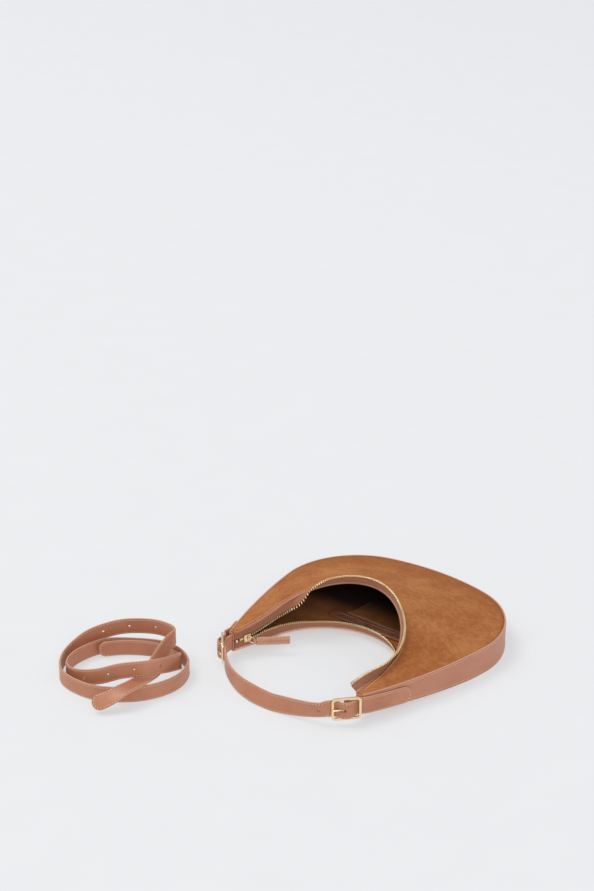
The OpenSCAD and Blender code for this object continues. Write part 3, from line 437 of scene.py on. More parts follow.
def frontSpot(q, v, drop):
    # the front panel falls from the arched mouth to the rim, and its skin rises and sinks a little
    high, low = frontMouth(q, 0), rim(q, rimInset)
    spot = mix(high, low, v)
    height = mix(rimHigh(low.y) - 2 * bag["gap"], frontEdgeHeight(q), (1 - v) ** skin["fall"])
    ease = 4 * v * (1 - v) * (1 - abs(q) ** 6)
    swell = noise.noise(Vector((spot.x / skin["swellWide"], spot.y / skin["swellDeep"], skin["swellSeed"])))
    dent = noise.noise(Vector((spot.x / skin["dentWide"], spot.y / skin["dentWide"], skin["dentSeed"])))
    wave = swell * skin["swellHigh"] + dent * skin["dentHigh"]
    return Vector((*spot, height - drop + ease * wave))


def backSpot(q, v, lift):
    # the back panel lies flat under the belly, and bends up across the horns to the lifted rim
    spot = mix(mouth(q, 0), rim(q, rimInset), v)
    base = standUp(spot)
    levelHalf = mix(bag["levelHalf"], mouthEnd.x, taper(base.y))
    shelf = min(base.y, shoulderCentre.y) - flankCentre.y
    rimHalf = flankCentre.x + sqrt(bag["flankRadius"] ** 2 - shelf ** 2) - rimInset
    fall = min(1.0, max(0.0, (abs(base.x) - levelHalf) / max(0.5, rimHalf - levelHalf)))
    share = (1 + cos(pi * fall)) / 2
    return Vector((*spot, mix(rimLow(spot.y), backHeight(spot.y), share) + lift))


# Making pieces
def gridMesh(across, along, place, size):
    # a grid whose own places, from 0 to 1, are laid out as its UV map in metres and then moved into shape
    mesh = bmesh.new()
    uvLayer = mesh.loops.layers.uv.new("cut")
    bmesh.ops.create_grid(mesh, x_segments=across, y_segments=along, size=0.5)
    for face in mesh.faces:
        for loop in face.loops:
            share = loop.vert.co
            loop[uvLayer].uv = ((share.x + 0.5) * size[0] * mm, (share.y + 0.5) * size[1] * mm)
    for vert in mesh.verts:
        vert.co = place(vert.co.x + 0.5, vert.co.y + 0.5)
    return mesh


def finishPiece(name, mesh, body, materials, slotName=None, stands=(), scale=mm):
    bmesh.ops.scale(mesh, vec=(scale, scale, scale), verts=mesh.verts)
    data = bpy.data.meshes.new(name)
    mesh.to_mesh(data)
    mesh.free()
    for material in materials:
        data.materials.append(material)
    data.shade_smooth()
    piece = addObject(name, data)
    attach(piece, body)
    if stands:
        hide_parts(*stands)
    return piece


def addThickness(piece, thick, offset=-1.0, rimMaterial=0):
    wall = piece.modifiers.new("wall", "SOLIDIFY")
    wall.thickness = thick * mm
    wall.offset = offset
    wall.material_offset_rim = rimMaterial
    wall.use_even_offset = True


def addBevel(piece, width, segments=2, angle=35):
    edge = piece.modifiers.new("softEdges", "BEVEL")
    edge.width = width * mm
    edge.segments = segments
    edge.limit_method = "ANGLE"
    edge.angle_limit = radians(angle)
    edge.harden_normals = True


def copyNode(name, node, body, material, bevel, slotName):
    # a CAD node's own shape, merged, with softened edges
    mesh = bmesh.new()
    mesh.from_mesh(frame["nodes"][node].data)
    bmesh.ops.remove_doubles(mesh, verts=mesh.verts, dist=0.002 * mm)
    bmesh.ops.dissolve_limit(mesh, angle_limit=radians(0.5), verts=mesh.verts, edges=mesh.edges)
    piece = finishPiece(name, mesh, body, [material], slotName, [node], scale=1.0)
    if bevel:
        addBevel(piece, bevel)


def makeShape(name, make):
    # a small mesh that is made once and then put in many places
    mesh = bmesh.new()
    make(mesh)
    data = bpy.data.meshes.new(name)
    mesh.to_mesh(data)
    mesh.free()
    return data


def addShape(mesh, shape, place):
    placed = shape.copy()
    placed.transform(place)
    mesh.from_mesh(placed)
    bpy.data.meshes.remove(placed)


# thread and hole are half sizes: across the row, out of the skin and along the row. Within bucklesReach of a
# buckle's bar the stitches lie deeper in their groove, clear of its frame
stitch = {"pitch": 3.6, "thread": (0.575, 0.414, 1.15), "hole": (0.5175, 0.322, 0.45), "inset": 2.0,
          "trackStep": 2.5, "endSteps": 12, "bucklesReach": 24.0, "sunkShare": 0.8}


def buildStitch(mesh):
    bmesh.ops.create_uvsphere(mesh, u_segments=6, v_segments=4, radius=1)


threadShape = makeShape("stitch", buildStitch)
holeShape = makeShape("needleHoleShade", buildStitch)
for polygon in holeShape.polygons:
    polygon.material_index = 1


def sewRow(mesh, points, outs):
    # stitches along a line of points, each lying half sunk in the skin that faces out
    # and between two stitches the needle's hole, a small dark mark whose colour is painted shade
    walked, target, count = 0.0, stitch["pitch"] / 2, 0
    for a, b, out in zip(points[:-1], points[1:], outs):
        step = (b - a).length
        if step < 1e-6:
            continue
        along = (b - a) / step
        side = out.cross(along).normalized()
        up = along.cross(side).normalized()
        while walked + step >= target:
            shape, half = (holeShape, stitch["hole"]) if count % 2 else (threadShape, stitch["thread"])
            axes = (side * half[0], up * half[1], along * half[2], a + along * (target - walked))
            addShape(mesh, shape, Matrix([[axis[row] for axis in axes] for row in range(3)] + [[0, 0, 0, 1]]))
            target += stitch["pitch"] / 2
            count += 1
        walked += step


def tubeMesh(points, radius, around):
    # a round bar along points, whose seam lies on its upper side
    last = len(points) - 1

    def place(u, v):
        k = round(u * last)
        along = (points[min(last, k + 1)] - points[max(0, k - 1)]).normalized()
        side = along.cross(Vector((0, 0, 1))).normalized()
        up = side.cross(along)
        return points[k] + radius * (up * cos(2 * pi * v) + side * sin(2 * pi * v))

    total = sum((b - a).length for a, b in zip(points[:-1], points[1:]))
    mesh = gridMesh(last, around, place, (total, 2 * pi * radius))
    bmesh.ops.remove_doubles(mesh, verts=mesh.verts, dist=0.0005)
    bmesh.ops.holes_fill(mesh, edges=mesh.edges, sides=0)
    bmesh.ops.recalc_face_normals(mesh, faces=mesh.faces)
    return mesh


# The shell: suede panels, gusset and linings
shell = {"columns": 150, "rows": 26, "cut": (620, 142), "offFloor": 0.02, "gussetColumns": 220,
         "gussetRows": 8, "gussetCut": (774, 34), "gussetEdge": 0.5, "liningRows": 6, "liningCut": (740, 28),
         "liningReach": 0.96, "pouchShare": 0.75}
frontStack = bag["panel"] + bag["gap"] + bag["lining"]
pouchTop = bag["panel"] + bag["gap"] + bag["lining"] * shell["pouchShare"]
backStack = pouchTop + bag["gap"] + bag["lining"]


def addSheet(name, place, material, slotName, node, thick):
    mesh = gridMesh(shell["columns"], shell["rows"], place, shell["cut"])
    addThickness(finishPiece(name, mesh, "bag", [material], slotName, [node]), thick)


# the back ones run from the rim to the mouth, so that they face the floor
addSheet("suedeFrontPanel", lambda u, v: frontSpot(2 * u - 1, v, 0), suede, "suede", "front_panel",
         bag["panel"])
addSheet("suedeBackPanel", lambda u, v: backSpot(2 * u - 1, 1 - v, shell["offFloor"]), suede, "suede",
         "back_panel", bag["panel"])
addSheet("frontLiningCloth", lambda u, v: frontSpot(2 * u - 1, v, bag["panel"] + bag["gap"]), paintedShadeLining,
         "lining", "front_lining", bag["lining"])
addSheet("backLiningCloth", lambda u, v: backSpot(2 * u - 1, 1 - v, pouchTop + bag["gap"]), lining, "lining",
         "back_lining", bag["lining"])


def gussetSpot(q, v, inset, low, high):
    spot = rim(q, inset)
    return Vector((*spot, mix(rimHigh(spot.y) - high, rimLow(spot.y) + low, v)))


gussetMesh = gridMesh(shell["gussetColumns"], shell["gussetRows"],
                      lambda u, v: gussetSpot(2 * u - 1, v, 0, 0, 0), shell["gussetCut"])
gusset = finishPiece("gussetBand", gussetMesh, "bag", [leather, leatherEdge], "leather", ["gusset"])
addThickness(gusset, bag["gusset"], rimMaterial=1)
addBevel(gusset, shell["gussetEdge"], segments=3, angle=50)
gussetLow = backStack + bag["gap"]
gussetHigh = frontStack + 3 * bag["gap"]
liningMesh = gridMesh(shell["gussetColumns"], shell["liningRows"], lambda u, v: gussetSpot(
    (2 * u - 1) * shell["liningReach"], v, rimInset, gussetLow, gussetHigh), shell["liningCut"])
gussetLining = finishPiece("gussetLiningCloth", liningMesh, "bag", [paintedShadeLining], "lining", ["gusset_lining"])
addThickness(gussetLining, bag["lining"])
print("shell done")

# The mouth: edging, tapes and teeth
zipper = {"tapeWidth": 8.8, "tapeLength": 383, "tapeThick": 0.8, "tapeColumns": 300, "tapeRows": 8,
          "rollSteps": 260, "rollSides": 14, "pitch": 2.8, "toothWidth": 1.3, "toothLength": 2.8,
          "toothThick": 2.4, "toothEdge": 0.14, "toothGap": 0.3, "rowHalf": 0.7, "closedGap": 0.245,
          "sliderLength": 10.0, "sliderPlace": -0.9, "headStep": 0.004, "leanStep": 0.02}
# how far the two tapes lean round the mouth, in degrees, from the left horn to the right one
frontLean = [(-1, -90), (-0.66, -90), (-0.54, -70), (-0.43, 30), (-0.3, 60), (0, 72), (0.3, 92), (0.45, 110),
             (0.62, 120), (0.76, 108), (0.88, 72), (1, 38)]
backLean = [(-1, 90), (-0.66, 90), (-0.4, 65), (0.4, 65), (1, 75)]
edgeOut = bag["edging"] + bag["gap"] / 2


def edging(q, front):
    if front:
        spot = frontMouth(q, -edgeOut)
        return Vector((*spot, frontEdgeHeight(q) - frontStack / 2))
    spot = mouth(q, -edgeOut)
    return Vector((*spot, backHeight(mouth(q, 0).y) + backStack / 2))


def heading(q, front):
    # the way the mouth's edge runs on the floor plan
    ahead, behind = min(1, q + zipper["headStep"]), max(-1, q - zipper["headStep"])
    step = edging(ahead, front) - edging(behind, front)
    return atan2(step.y, step.x)


def leaning(q, front):
    table = frontLean if front else backLean
    return radians(sum(lookUp(q + d, table) for d in (-zipper["leanStep"], 0, zipper["leanStep"])) / 3)


# the two rows meet tooth between tooth behind the slider and part in it: the tape's distance from the chain's
# middle, against the distance from the slider in its own lengths
closedRoot = zipper["toothLength"] / 2 + zipper["closedGap"]
openRoot = zipper["rowHalf"] + zipper["toothLength"] + bag["gap"] / 2
chainHeight = mix(edging(-1, True).z, edging(-1, False).z, 0.5)
partingRow = [(-0.1, closedRoot), (0.3, openRoot), (1.6, openRoot), (4.5, -zipper["toothLength"])]


def tapeEnd(q, front):
    # how far the tape reaches from the middle of the edging, which near the slider is as far as the chain
    root = lookUp((q - zipper["sliderPlace"]) * mouthLength / zipper["sliderLength"], partingRow)
    return min(bag["edging"] + zipper["tapeWidth"], abs(edging(q, front).z - chainHeight) - root)


def tapeSpot(q, v, front):
    ahead, lean = heading(q, front), leaning(q, front)
    reach = Vector((sin(ahead) * cos(lean), -cos(ahead) * cos(lean), sin(lean)))
    return edging(q, front) + reach * mix(bag["edging"] + bag["gap"], tapeEnd(q, front), v)


def toothMatrix(q, front):
    return (Matrix.Translation(edging(q, front)) @ Matrix.Rotation(heading(q, front), 4, "Z")
            @ Matrix.Rotation(-leaning(q, front), 4, "X")
            @ Matrix.Translation((0, -tapeEnd(q, front) - zipper["toothGap"], 0)))


def buildTooth(mesh):
    # one metal tooth: a head with a nose, and two legs towards the tape's edge, as shares of its size
    width, length, thick = zipper["toothWidth"], zipper["toothLength"], zipper["toothThick"]
    boxes = [((0, -length * 0.42, 0), (width, length * 0.84, thick)),
             ((0, -length * 0.86, 0), (width * 0.82, length * 0.28, thick * 0.62)),
             ((0, -length * 0.12, thick * 0.31), (width * 0.9, length * 0.38, thick * 0.24)),
             ((0, -length * 0.12, -thick * 0.31), (width * 0.9, length * 0.38, thick * 0.24))]
    for centre, size in boxes:
        bmesh.ops.create_cube(mesh, size=1, matrix=Matrix.Translation(centre) @ Matrix.Diagonal((*size, 1)))
    bmesh.ops.bevel(mesh, geom=mesh.edges, offset=zipper["toothEdge"], affect="EDGES", segments=1,
                    profile=0.5, material=-1)


toothShape = makeShape("tooth", buildTooth)
toothCount = 2 * floor((mouthLength - 3 * zipper["pitch"]) / zipper["pitch"])
for front in (True, False):
    word = "front" if front else "back"
    roll = tubeMesh([edging(q, front) for q in acrossBag(zipper["rollSteps"])], bag["edging"],
                    zipper["rollSides"])
    # the front edging's leather carries painted shade, the back one's painted light
    finishPiece(word + "EdgingRoll", roll, "bag", [shadedEdgingLeather if front else litTrimLeather], "leather",
                [word + "_binding"])
    cloth = gridMesh(zipper["tapeColumns"], zipper["tapeRows"], lambda u, v: tapeSpot(2 * u - 1, v, front),
                     (zipper["tapeLength"], zipper["tapeWidth"]))
    tape = finishPiece(word + "ZipTapeCloth", cloth, "bag", [wovenTape], "zip_tape", [word + "_zip_tape"])
    addThickness(tape, zipper["tapeThick"], 0.0)
    teeth = bmesh.new()
    for i in range(-1, toothCount + (2 if front else 1)):
        along = (i - (toothCount - 1) / 2) * zipper["pitch"] + (0 if front else zipper["pitch"] / 2)
        addShape(teeth, toothShape, toothMatrix(along / mouthLength, front))
    finishPiece(word + "MetalTeeth", teeth, "bag", [toothGold], "pale_gold", [word + "_zip_teeth"])
print("mouth and zip done")


# Straps: a flat band along a path, with crowned faces, waxed edges, stitches and holes
def smoothPath(knots, steps):
    # a smooth curve through all the knots, which leans as they do
    path = []
    for k in range(len(knots) - 1):
        a, b = knots[max(0, k - 1)], knots[k]
        c, d = knots[k + 1], knots[min(len(knots) - 1, k + 2)]
        for i in range(steps):
            t = i / steps
            path.append(0.5 * (2 * b + (c - a) * t + (2 * a - 5 * b + 4 * c - d) * t * t
                               + (3 * b - a - 3 * c + d) * t ** 3))
    return path + [knots[-1]]


class Band:
    # a strap's path as places with their length, the way up its width and the way out of its face
    def __init__(self, path):
        self.spots, self.lengths = [], [0.0]
        for k, p in enumerate(path):
            a, b = path[max(0, k - 1)], path[min(len(path) - 1, k + 1)]
            along = (b - a).to_3d().normalized()
            level = Vector((along.y, -along.x, 0)).normalized()
            rise = level.cross(along)
            lean = radians(p[3])
            up = rise * cos(lean) + level * sin(lean)
            out = level * cos(lean) - rise * sin(lean)
            self.spots.append((p.to_3d(), up, out))
            if k:
                self.lengths.append(self.lengths[-1] + (p.to_3d() - path[k - 1].to_3d()).length)
        self.length = self.lengths[-1]

    def at(self, s, h, t):
        # the place at a length, a height across the width and a distance out of the middle of the face
        low = min(max(0, bisect_right(self.lengths, s) - 1), len(self.lengths) - 2)
        share = (s - self.lengths[low]) / max(1e-9, self.lengths[low + 1] - self.lengths[low])
        centre, up, out = (mix(a, b, share) for a, b in zip(self.spots[low], self.spots[low + 1]))
        return centre + up.normalized() * h + out.normalized() * t

    def faceWay(self, s, side):
        return (self.at(s, 0, side) - self.at(s, 0, 0)).normalized()


strapShape = {"step": 2.6, "crown": 1.07, "waxedTo": 0.5, "roundedTo": 0.8}
# where the rows of places lie at a strap's round ends, in millimetres from its tip
tipSteps = [0, 0.08, 0.3, 0.7, 1.3, 2.1, 3.1, 4.4, 6.0, 8.0]
# the profile from an edge to the middle: millimetres in from the edge, and shares of half the thickness
edgeProfile = [(0, 0), (0.12, 0.42), (0.4, 0.76), (0.9, 0.93), (1.5, 0.95), (2.0, 0.84), (2.5, 0.95),
               (3.6, 1.02), (6, 1.05)]


def endWidth(s, strap):
    # half the width at a length from the strap's end, where the corners are round
    corner = strap["corner"]
    s = min(max(s, 0), corner)
    return strap["width"] / 2 - corner + sqrt(max(0.0, corner ** 2 - (corner - s) ** 2))


def bandMesh(band, strap):
    width = strap["width"]
    tips = [s for s in tipSteps if s < width / 2]
    count = int((band.length - width) / strapShape["step"])
    middle = [width / 2 + (band.length - width) * k / count for k in range(count + 1)]
    stations = tips + middle + [band.length - s for s in reversed(tips)]
    half = edgeProfile + [(width / 2, strapShape["crown"])]
    around = ([(e, -1, 1, f) for e, f in half] + [(e, 1, 1, f) for e, f in reversed(half[:-1])]
              + [(e, 1, -1, f) for e, f in half[1:]] + [(e, -1, -1, f) for e, f in reversed(half[:-1])])

    def place(u, v):
        s = stations[round(u * (len(stations) - 1))]
        inward, hSide, tSide, share = around[round(v * (len(around) - 1))]
        near = min(s, band.length - s)
        h = hSide * endWidth(near, strap) * (1 - inward / (width / 2))
        t = tSide * share * strap["thick"] / 2 * min(1.0, sqrt(near / strapShape["roundedTo"]))
        return band.at(s, h, t)

    mesh = gridMesh(len(stations) - 1, len(around) - 1, place, (band.length, 2 * width))
    uvLayer = mesh.loops.layers.uv.active
    for face in mesh.faces:
        v = sum(loop[uvLayer].uv.y for loop in face.loops) / len(face.loops) / mm / (2 * width)
        row = int(v * (len(around) - 1))
        inward = (around[row][0] + around[row + 1][0]) / 2
        face.material_index = 1 if inward < strapShape["waxedTo"] else 0
    bmesh.ops.remove_doubles(mesh, verts=mesh.verts, dist=0.0005)
    bmesh.ops.recalc_face_normals(mesh, faces=mesh.faces)
    return mesh


def bandTrack(band, strap, inset):
    # a line of places round a strap at an inset from its edge: along one edge, round the end and back
    half, corner, turns = strap["width"] / 2, strap["corner"], stitch["endSteps"]
    radius, rise = max(0.3, corner - inset), half - corner
    first, last = corner, band.length - corner
    steps = max(2, int((last - first) / stitch["trackStep"]))
    line = [(mix(first, last, k / steps), inset - half) for k in range(steps + 1)]
    for k in range(1, turns):
        a = pi * k / turns
        line.append((last + radius * sin(a), (-rise if a < pi / 2 else rise) - radius * cos(a)))
    line += [(mix(last, first, k / steps), half - inset) for k in range(steps + 1)]
    for k in range(1, turns + 1):
        a = pi * k / turns
        line.append((first - radius * sin(a), (rise if a < pi / 2 else -rise) + radius * cos(a)))
    return line


def sewStrap(name, band, strap, body, inset=stitch["inset"], bars=()):
    # stitches on both faces, in the groove round the strap
    mesh = bmesh.new()
    for side in (1, -1):
        points, outs = [], []
        for s, h in bandTrack(band, strap, inset):
            middle = band.at(s, h, 0)
            sunk = any((middle.to_2d() - bar).length < stitch["bucklesReach"] for bar in bars)
            points.append(band.at(s, h, side * strap["thick"] / 2 * (stitch["sunkShare"] if sunk else 1.0)))
            outs.append(band.faceWay(min(max(s, 0), band.length), side))
        sewRow(mesh, points, outs)
    finishPiece(name, mesh, body, [rosyThread, needleHoleShade])


def cutHoles(piece, cutters):
    # round holes and slots are cut once, and the cutters are removed again
    data = bpy.data.meshes.new("cutter")
    cutters.to_mesh(data)
    cutters.free()
    cutter = addObject("cutter", data)
    cut = piece.modifiers.new("holes", "BOOLEAN")
    cut.operation = "DIFFERENCE"
    cut.object = cutter
    cut.solver = "EXACT"
    shown = piece.evaluated_get(bpy.context.evaluated_depsgraph_get())
    result = bpy.data.meshes.new_from_object(shown)
    piece.modifiers.remove(cut)
    piece.data = result
    result.shade_smooth()
    bpy.data.objects.remove(cutter)


punch = {"radius": 1.6, "depth": 8.0, "sides": 20}


def addRound(mesh, size, place=Matrix()):
    bmesh.ops.create_cone(mesh, cap_ends=True, segments=size["sides"], radius1=size["radius"],
                          radius2=size["radius"], depth=size["depth"], matrix=place)


def addHole(mesh, band, s):
    turn = band.faceWay(s, 1).to_track_quat("Z", "Y").to_matrix().to_4x4()
    addRound(mesh, punch, Matrix.Scale(mm, 4) @ Matrix.Translation(band.at(s, 0, 0)) @ turn)


longStrap = {"width": 20.0, "thick": 2.4, "corner": 10.0, "steps": 9, "across": 148.0, "deep": 114.0,
             "place": (-174.0, -387.3), "turn": 38.9, "holePitch": 31.5, "firstHole": 170.0, "firstHoles": 5,
             "lastHole": 192.0, "lastHoles": 3}
# the coil's knots, from its inner end to its tail: across and deep as shares of half the coil, the height of
# the strap's middle in strap widths, and how far it leans over, in degrees
coilShares = [
    (-0.459, 0.763, 0.51, 0), (0, 0.86, 0.51, 0), (0.514, 0.737, 0.515, 0), (0.811, 0.351, 0.55, 0),
    (0.865, 0.035, 0.95, 0), (0.676, -0.491, 1.59, 0), (0.378, -0.754, 1.815, 0), (0, -0.737, 1.61, 0),
    (-0.338, -0.667, 1.15, 0), (-0.649, -0.491, 0.8, 0), (-0.851, -0.211, 0.6, 0), (-0.892, 0.14, 0.51, 0),
    (-0.757, 0.526, 0.51, 0), (-0.405, 0.912, 0.51, 0), (0, 0.965, 0.51, 0), (0.514, 0.86, 0.51, 0),
    (0.838, 0.561, 0.51, 0), (1, 0.105, 0.51, 0), (0.919, -0.386, 0.51, 0), (0.676, -0.737, 0.51, 0),
    (0.338, -0.947, 0.51, 0), (0, -1, 0.51, 0), (-0.378, -0.93, 0.51, 0), (-0.703, -0.684, 0.51, 0),
    (-0.932, -0.351, 0.51, 0), (-1, 0, 0.51, 0), (-0.973, 0.351, 0.6, 0), (-0.824, 0.667, 0.85, 0),
    (-0.568, 0.93, 1.2, 0), (-0.135, 1.088, 1.525, 0), (0.27, 1.105, 1.57, 0), (0.568, 0.982, 1.58, 0),
    (0.77, 0.702, 1.59, 0), (0.676, 0.351, 1.575, 15), (0.581, 0, 1.4, 30), (0.486, -0.386, 1.16, 60),
    (0.365, -0.702, 1.11, 86), (0.216, -0.947, 1.11, 88), (0.054, -1.14, 1.075, 84),
    (-0.162, -1.298, 0.775, 62), (-0.405, -1.386, 0.525, 45)]


def coilKnot(across, deep, high, lean):
    turn = radians(longStrap["turn"])
    x, y = across * longStrap["across"] / 2, deep * longStrap["deep"] / 2
    return Vector((longStrap["place"][0] + x * cos(turn) - y * sin(turn),
                   longStrap["place"][1] + x * sin(turn) + y * cos(turn), high * longStrap["width"], lean))


coilBand = Band(smoothPath([coilKnot(*shares) for shares in coilShares], longStrap["steps"]))
coil = finishPiece("longStrapBand", bandMesh(coilBand, longStrap), "loose_strap", [strapLeather, leatherEdge],
                   "leather", ["long_strap"])
holes = bmesh.new()
for k in range(longStrap["firstHoles"]):
    addHole(holes, coilBand, longStrap["firstHole"] + k * longStrap["holePitch"])
for k in range(longStrap["lastHoles"]):
    addHole(holes, coilBand, coilBand.length - longStrap["lastHole"] - k * longStrap["holePitch"])
cutHoles(coil, holes)
sewStrap("longStrapStitches", coilBand, longStrap, "loose_strap")
print("long strap coiled, length", round(coilBand.length))

# The short strap goes from one buckle to the other, and its two ends lie along the flanks
shoulder = {"width": 21.0, "thick": 2.4, "corner": 10.5, "steps": 4, "rightTip": 58.0, "leftTip": 36.0,
            "rightTipDrop": 3.5, "leftTipRise": 7 / 3, "flankLie": 1.69, "leftHandle": 66.0,
            "rightHandle": 12.0, "leftPower": 3.0, "rightPower": 0.9, "hangSteps": 22, "buckleLength": 34.0,
            "turn": 48.65, "over": 4.9, "under": -3.275, "spareHole": 121.0, "slotMiddle": -5.0,
            "slot": (7.6, 16.0, 3.2)}
barHeight = bag["hornLift"] + bag["hornDepth"] / 2
bars = {side: Vector(joints[name]["pos_m"][:2]) / mm
        for side, name in ((-1, "left_buckle_turn"), (1, "right_buckle_turn"))}


# side is -1 at the left buckle and 1 at the right one
def strapWay(side):
    return Vector((side * cos(radians(shoulder["turn"])), sin(radians(shoulder["turn"]))))


def outWay(side):
    return Vector((side * sin(radians(shoulder["turn"])), -cos(radians(shoulder["turn"]))))


def atBuckle(side, x, y):
    return bars[side] + x * strapWay(side) + y * outWay(side)


def barMatrix(side, x=0.0):
    # the centre bar's place, or one further along the strap, with its own X along the strap
    turn = atan2(strapWay(side).y, strapWay(side).x)
    return Matrix.Translation((*atBuckle(side, x, 0), barHeight)) @ Matrix.Rotation(turn, 4, "Z")


# through a buckle, in shares of half its length: from under the frame to over the centre bar and back under
bowShares = [(-1.3, 0), (-1, 0), (-0.82, 0), (-0.68, 0.1), (-0.5, 0.45), (-0.32, 0.84), (-0.16, 0.97), (0, 1),
             (0.16, 0.97), (0.32, 0.84), (0.5, 0.45), (0.68, 0.1), (0.82, 0), (1, 0), (1.3, 0)]


def bow(side):
    knots = []
    for share, rise in bowShares:
        y = mix(shoulder["under"], shoulder["over"], rise)
        spot = atBuckle(side, share * shoulder["buckleLength"] / 2, y)
        knots.append(Vector((*spot, barHeight, 0)))
    return knots


tipShares = (0.3, 0.45, 0.6, 0.75, 0.87, 0.94, 0.98, 1)


def tip(side):
    # an end that lies along the flank, nearer to it towards the tip
    length = shoulder["rightTip"] if side > 0 else shoulder["leftTip"]
    height = barHeight - shoulder["rightTipDrop"] if side > 0 else barHeight + shoulder["leftTipRise"]
    knots = []
    for share in tipShares:
        spot = rim(side * (1 - share * length / rimLength), -shoulder["flankLie"] * (1 + (1 - share) ** 2))
        knots.append(Vector((*spot, mix(barHeight, height, share), 0)))
    return knots


# how far the free part leans on its way from the left buckle to the right one, in degrees
hangLean = [(0, 0), (0.16, -1), (0.36, -18), (0.6, -8), (0.8, 10), (0.92, 12), (1, 6)]


def hang():
    # the free part between the buckles, which sinks to the floor
    start = atBuckle(-1, bowShares[0][0] * shoulder["buckleLength"] / 2, shoulder["under"])
    end = atBuckle(1, bowShares[0][0] * shoulder["buckleLength"] / 2, shoulder["under"])
    first = start - shoulder["leftHandle"] * strapWay(-1)
    last = end - shoulder["rightHandle"] * strapWay(1)
    knots = []
    for k in range(1, shoulder["hangSteps"]):
        t = k / shoulder["hangSteps"]
        spot = (1 - t) ** 3 * start + 3 * (1 - t) ** 2 * t * first + 3 * (1 - t) * t * t * last + t ** 3 * end
        power = shoulder["leftPower"] if t < 0.5 else shoulder["rightPower"]
        height = mix(shoulder["width"] / 2 + bag["gap"], barHeight, abs(2 * t - 1) ** power)
        knots.append(Vector((*spot, height, lookUp(t, hangLean))))
    return knots


strapKnots = tip(-1)[::-1] + bow(-1)[::-1] + hang() + bow(1) + tip(1)
strapBand = Band(smoothPath(strapKnots, shoulder["steps"]))
shoulderStrap = finishPiece("shoulderStrapBand", bandMesh(strapBand, shoulder), "bag",
                            [strapLeather, leatherEdge], "leather", ["shoulder_strap"])
slots = bmesh.new()
addHole(slots, strapBand, strapBand.length - shoulder["spareHole"])
for side in (-1, 1):
    place = Matrix.Scale(mm, 4) @ barMatrix(side, shoulder["slotMiddle"])
    bmesh.ops.create_cube(slots, size=1, matrix=place @ Matrix.Diagonal((*shoulder["slot"], 1)))
cutHoles(shoulderStrap, slots)
sewStrap("shoulderStrapStitches", strapBand, shoulder, "bag", bars=bars.values())
print("shoulder strap done")

# The buckles' prongs: an eye round the centre bar and a rod with a rounded tip that rests over the frame
prong = {"radius": 2.4, "depth": 2.6, "sides": 28, "edge": 0.3, "height": 2.4, "rod": 1.12, "tip": -16.1}


def buildProng(side):
    # the rod lies on the strap's outer side, which the bar's own Y may point away from
    rise = prong["height"] if barMatrix(side).col[1].to_2d().dot(outWay(side)) > 0 else -prong["height"]
    mesh = bmesh.new()
    addRound(mesh, prong)
    brim = [edge for edge in mesh.edges if len(edge.link_faces[0].verts) != len(edge.link_faces[1].verts)]
    bmesh.ops.bevel(mesh, geom=brim, offset=prong["edge"], affect="EDGES", segments=2, profile=0.5,
                    material=-1)
    # the rod is a ball drawn out along the strap, so that both its ends are round
    ball = bmesh.ops.create_uvsphere(mesh, u_segments=16, v_segments=12, radius=prong["rod"],
                                     matrix=Matrix.Rotation(radians(90), 4, "Y"))["verts"]
    for vert in ball:
        if vert.co.x < 0.01:
            vert.co.x += prong["tip"] + prong["rod"]
        vert.co.y += rise
    bmesh.ops.transform(mesh, matrix=barMatrix(side), verts=mesh.verts)
    bmesh.ops.recalc_face_normals(mesh, faces=mesh.faces)
    return mesh


for side, word in ((-1, "left"), (1, "right")):
    finishPiece(word + "BucklePin", buildProng(side), word + "_tongue", [gold], "pale_gold",
                [word + "_prong"])

# Pieces that keep their CAD shape: its name, node, body, material, bevel in millimetres and slot
for row in (("leftBuckleFrame", "left_buckle", "left_frame", gold, 0.35, "pale_gold"),
            ("rightBuckleFrame", "right_buckle", "right_frame", gold, 0.35, "pale_gold"),
            ("chainBottomStop", "bottom_stop", "bag", gold, 0.2, "pale_gold"),
            ("chainTopStops", "top_stops", "bag", gold, 0.2, "pale_gold"),
            ("zipSliderBody", "zip_slider", "slider", gold, 0.12, "pale_gold"),
            ("zipPullerWire", "zip_puller", "puller", gold, 0.0, "pale_gold"),
            ("pocketSliderBody", "pocket_slider", "pocket_slide", gold, 0.1, "pale_gold"),
            ("pocketPullerWire", "pocket_puller", "pocket_pull", gold, 0.0, "pale_gold"),
            ("pocketMetalTeeth", "pocket_teeth", "bag", dullGold, 0.12, "pale_gold"),
            ("leftAnchorLoop", "left_anchor", "bag", leather, 0.3, "leather"),
            ("rightAnchorLoop", "right_anchor", "bag", leather, 0.3, "leather"),
            ("pocketLeatherFrame", "pocket_frame", "bag", shadedPocketLeather, 0.3, "leather"),
            ("pocketZipTape", "pocket_tape", "bag", wovenTape, 0.1, "zip_tape"),
            ("pocketBagCloth", "pocket_pouch", "bag", lining, 0.1, "lining"),
            ("slipPocketCloth", "slip_pocket", "bag", slipLining, 0.1, "lining"),
            ("slipPocketTrim", "slip_trim", "bag", litTrimLeather, 0.3, "leather")):
    copyNode(*row)
print("small pieces done")

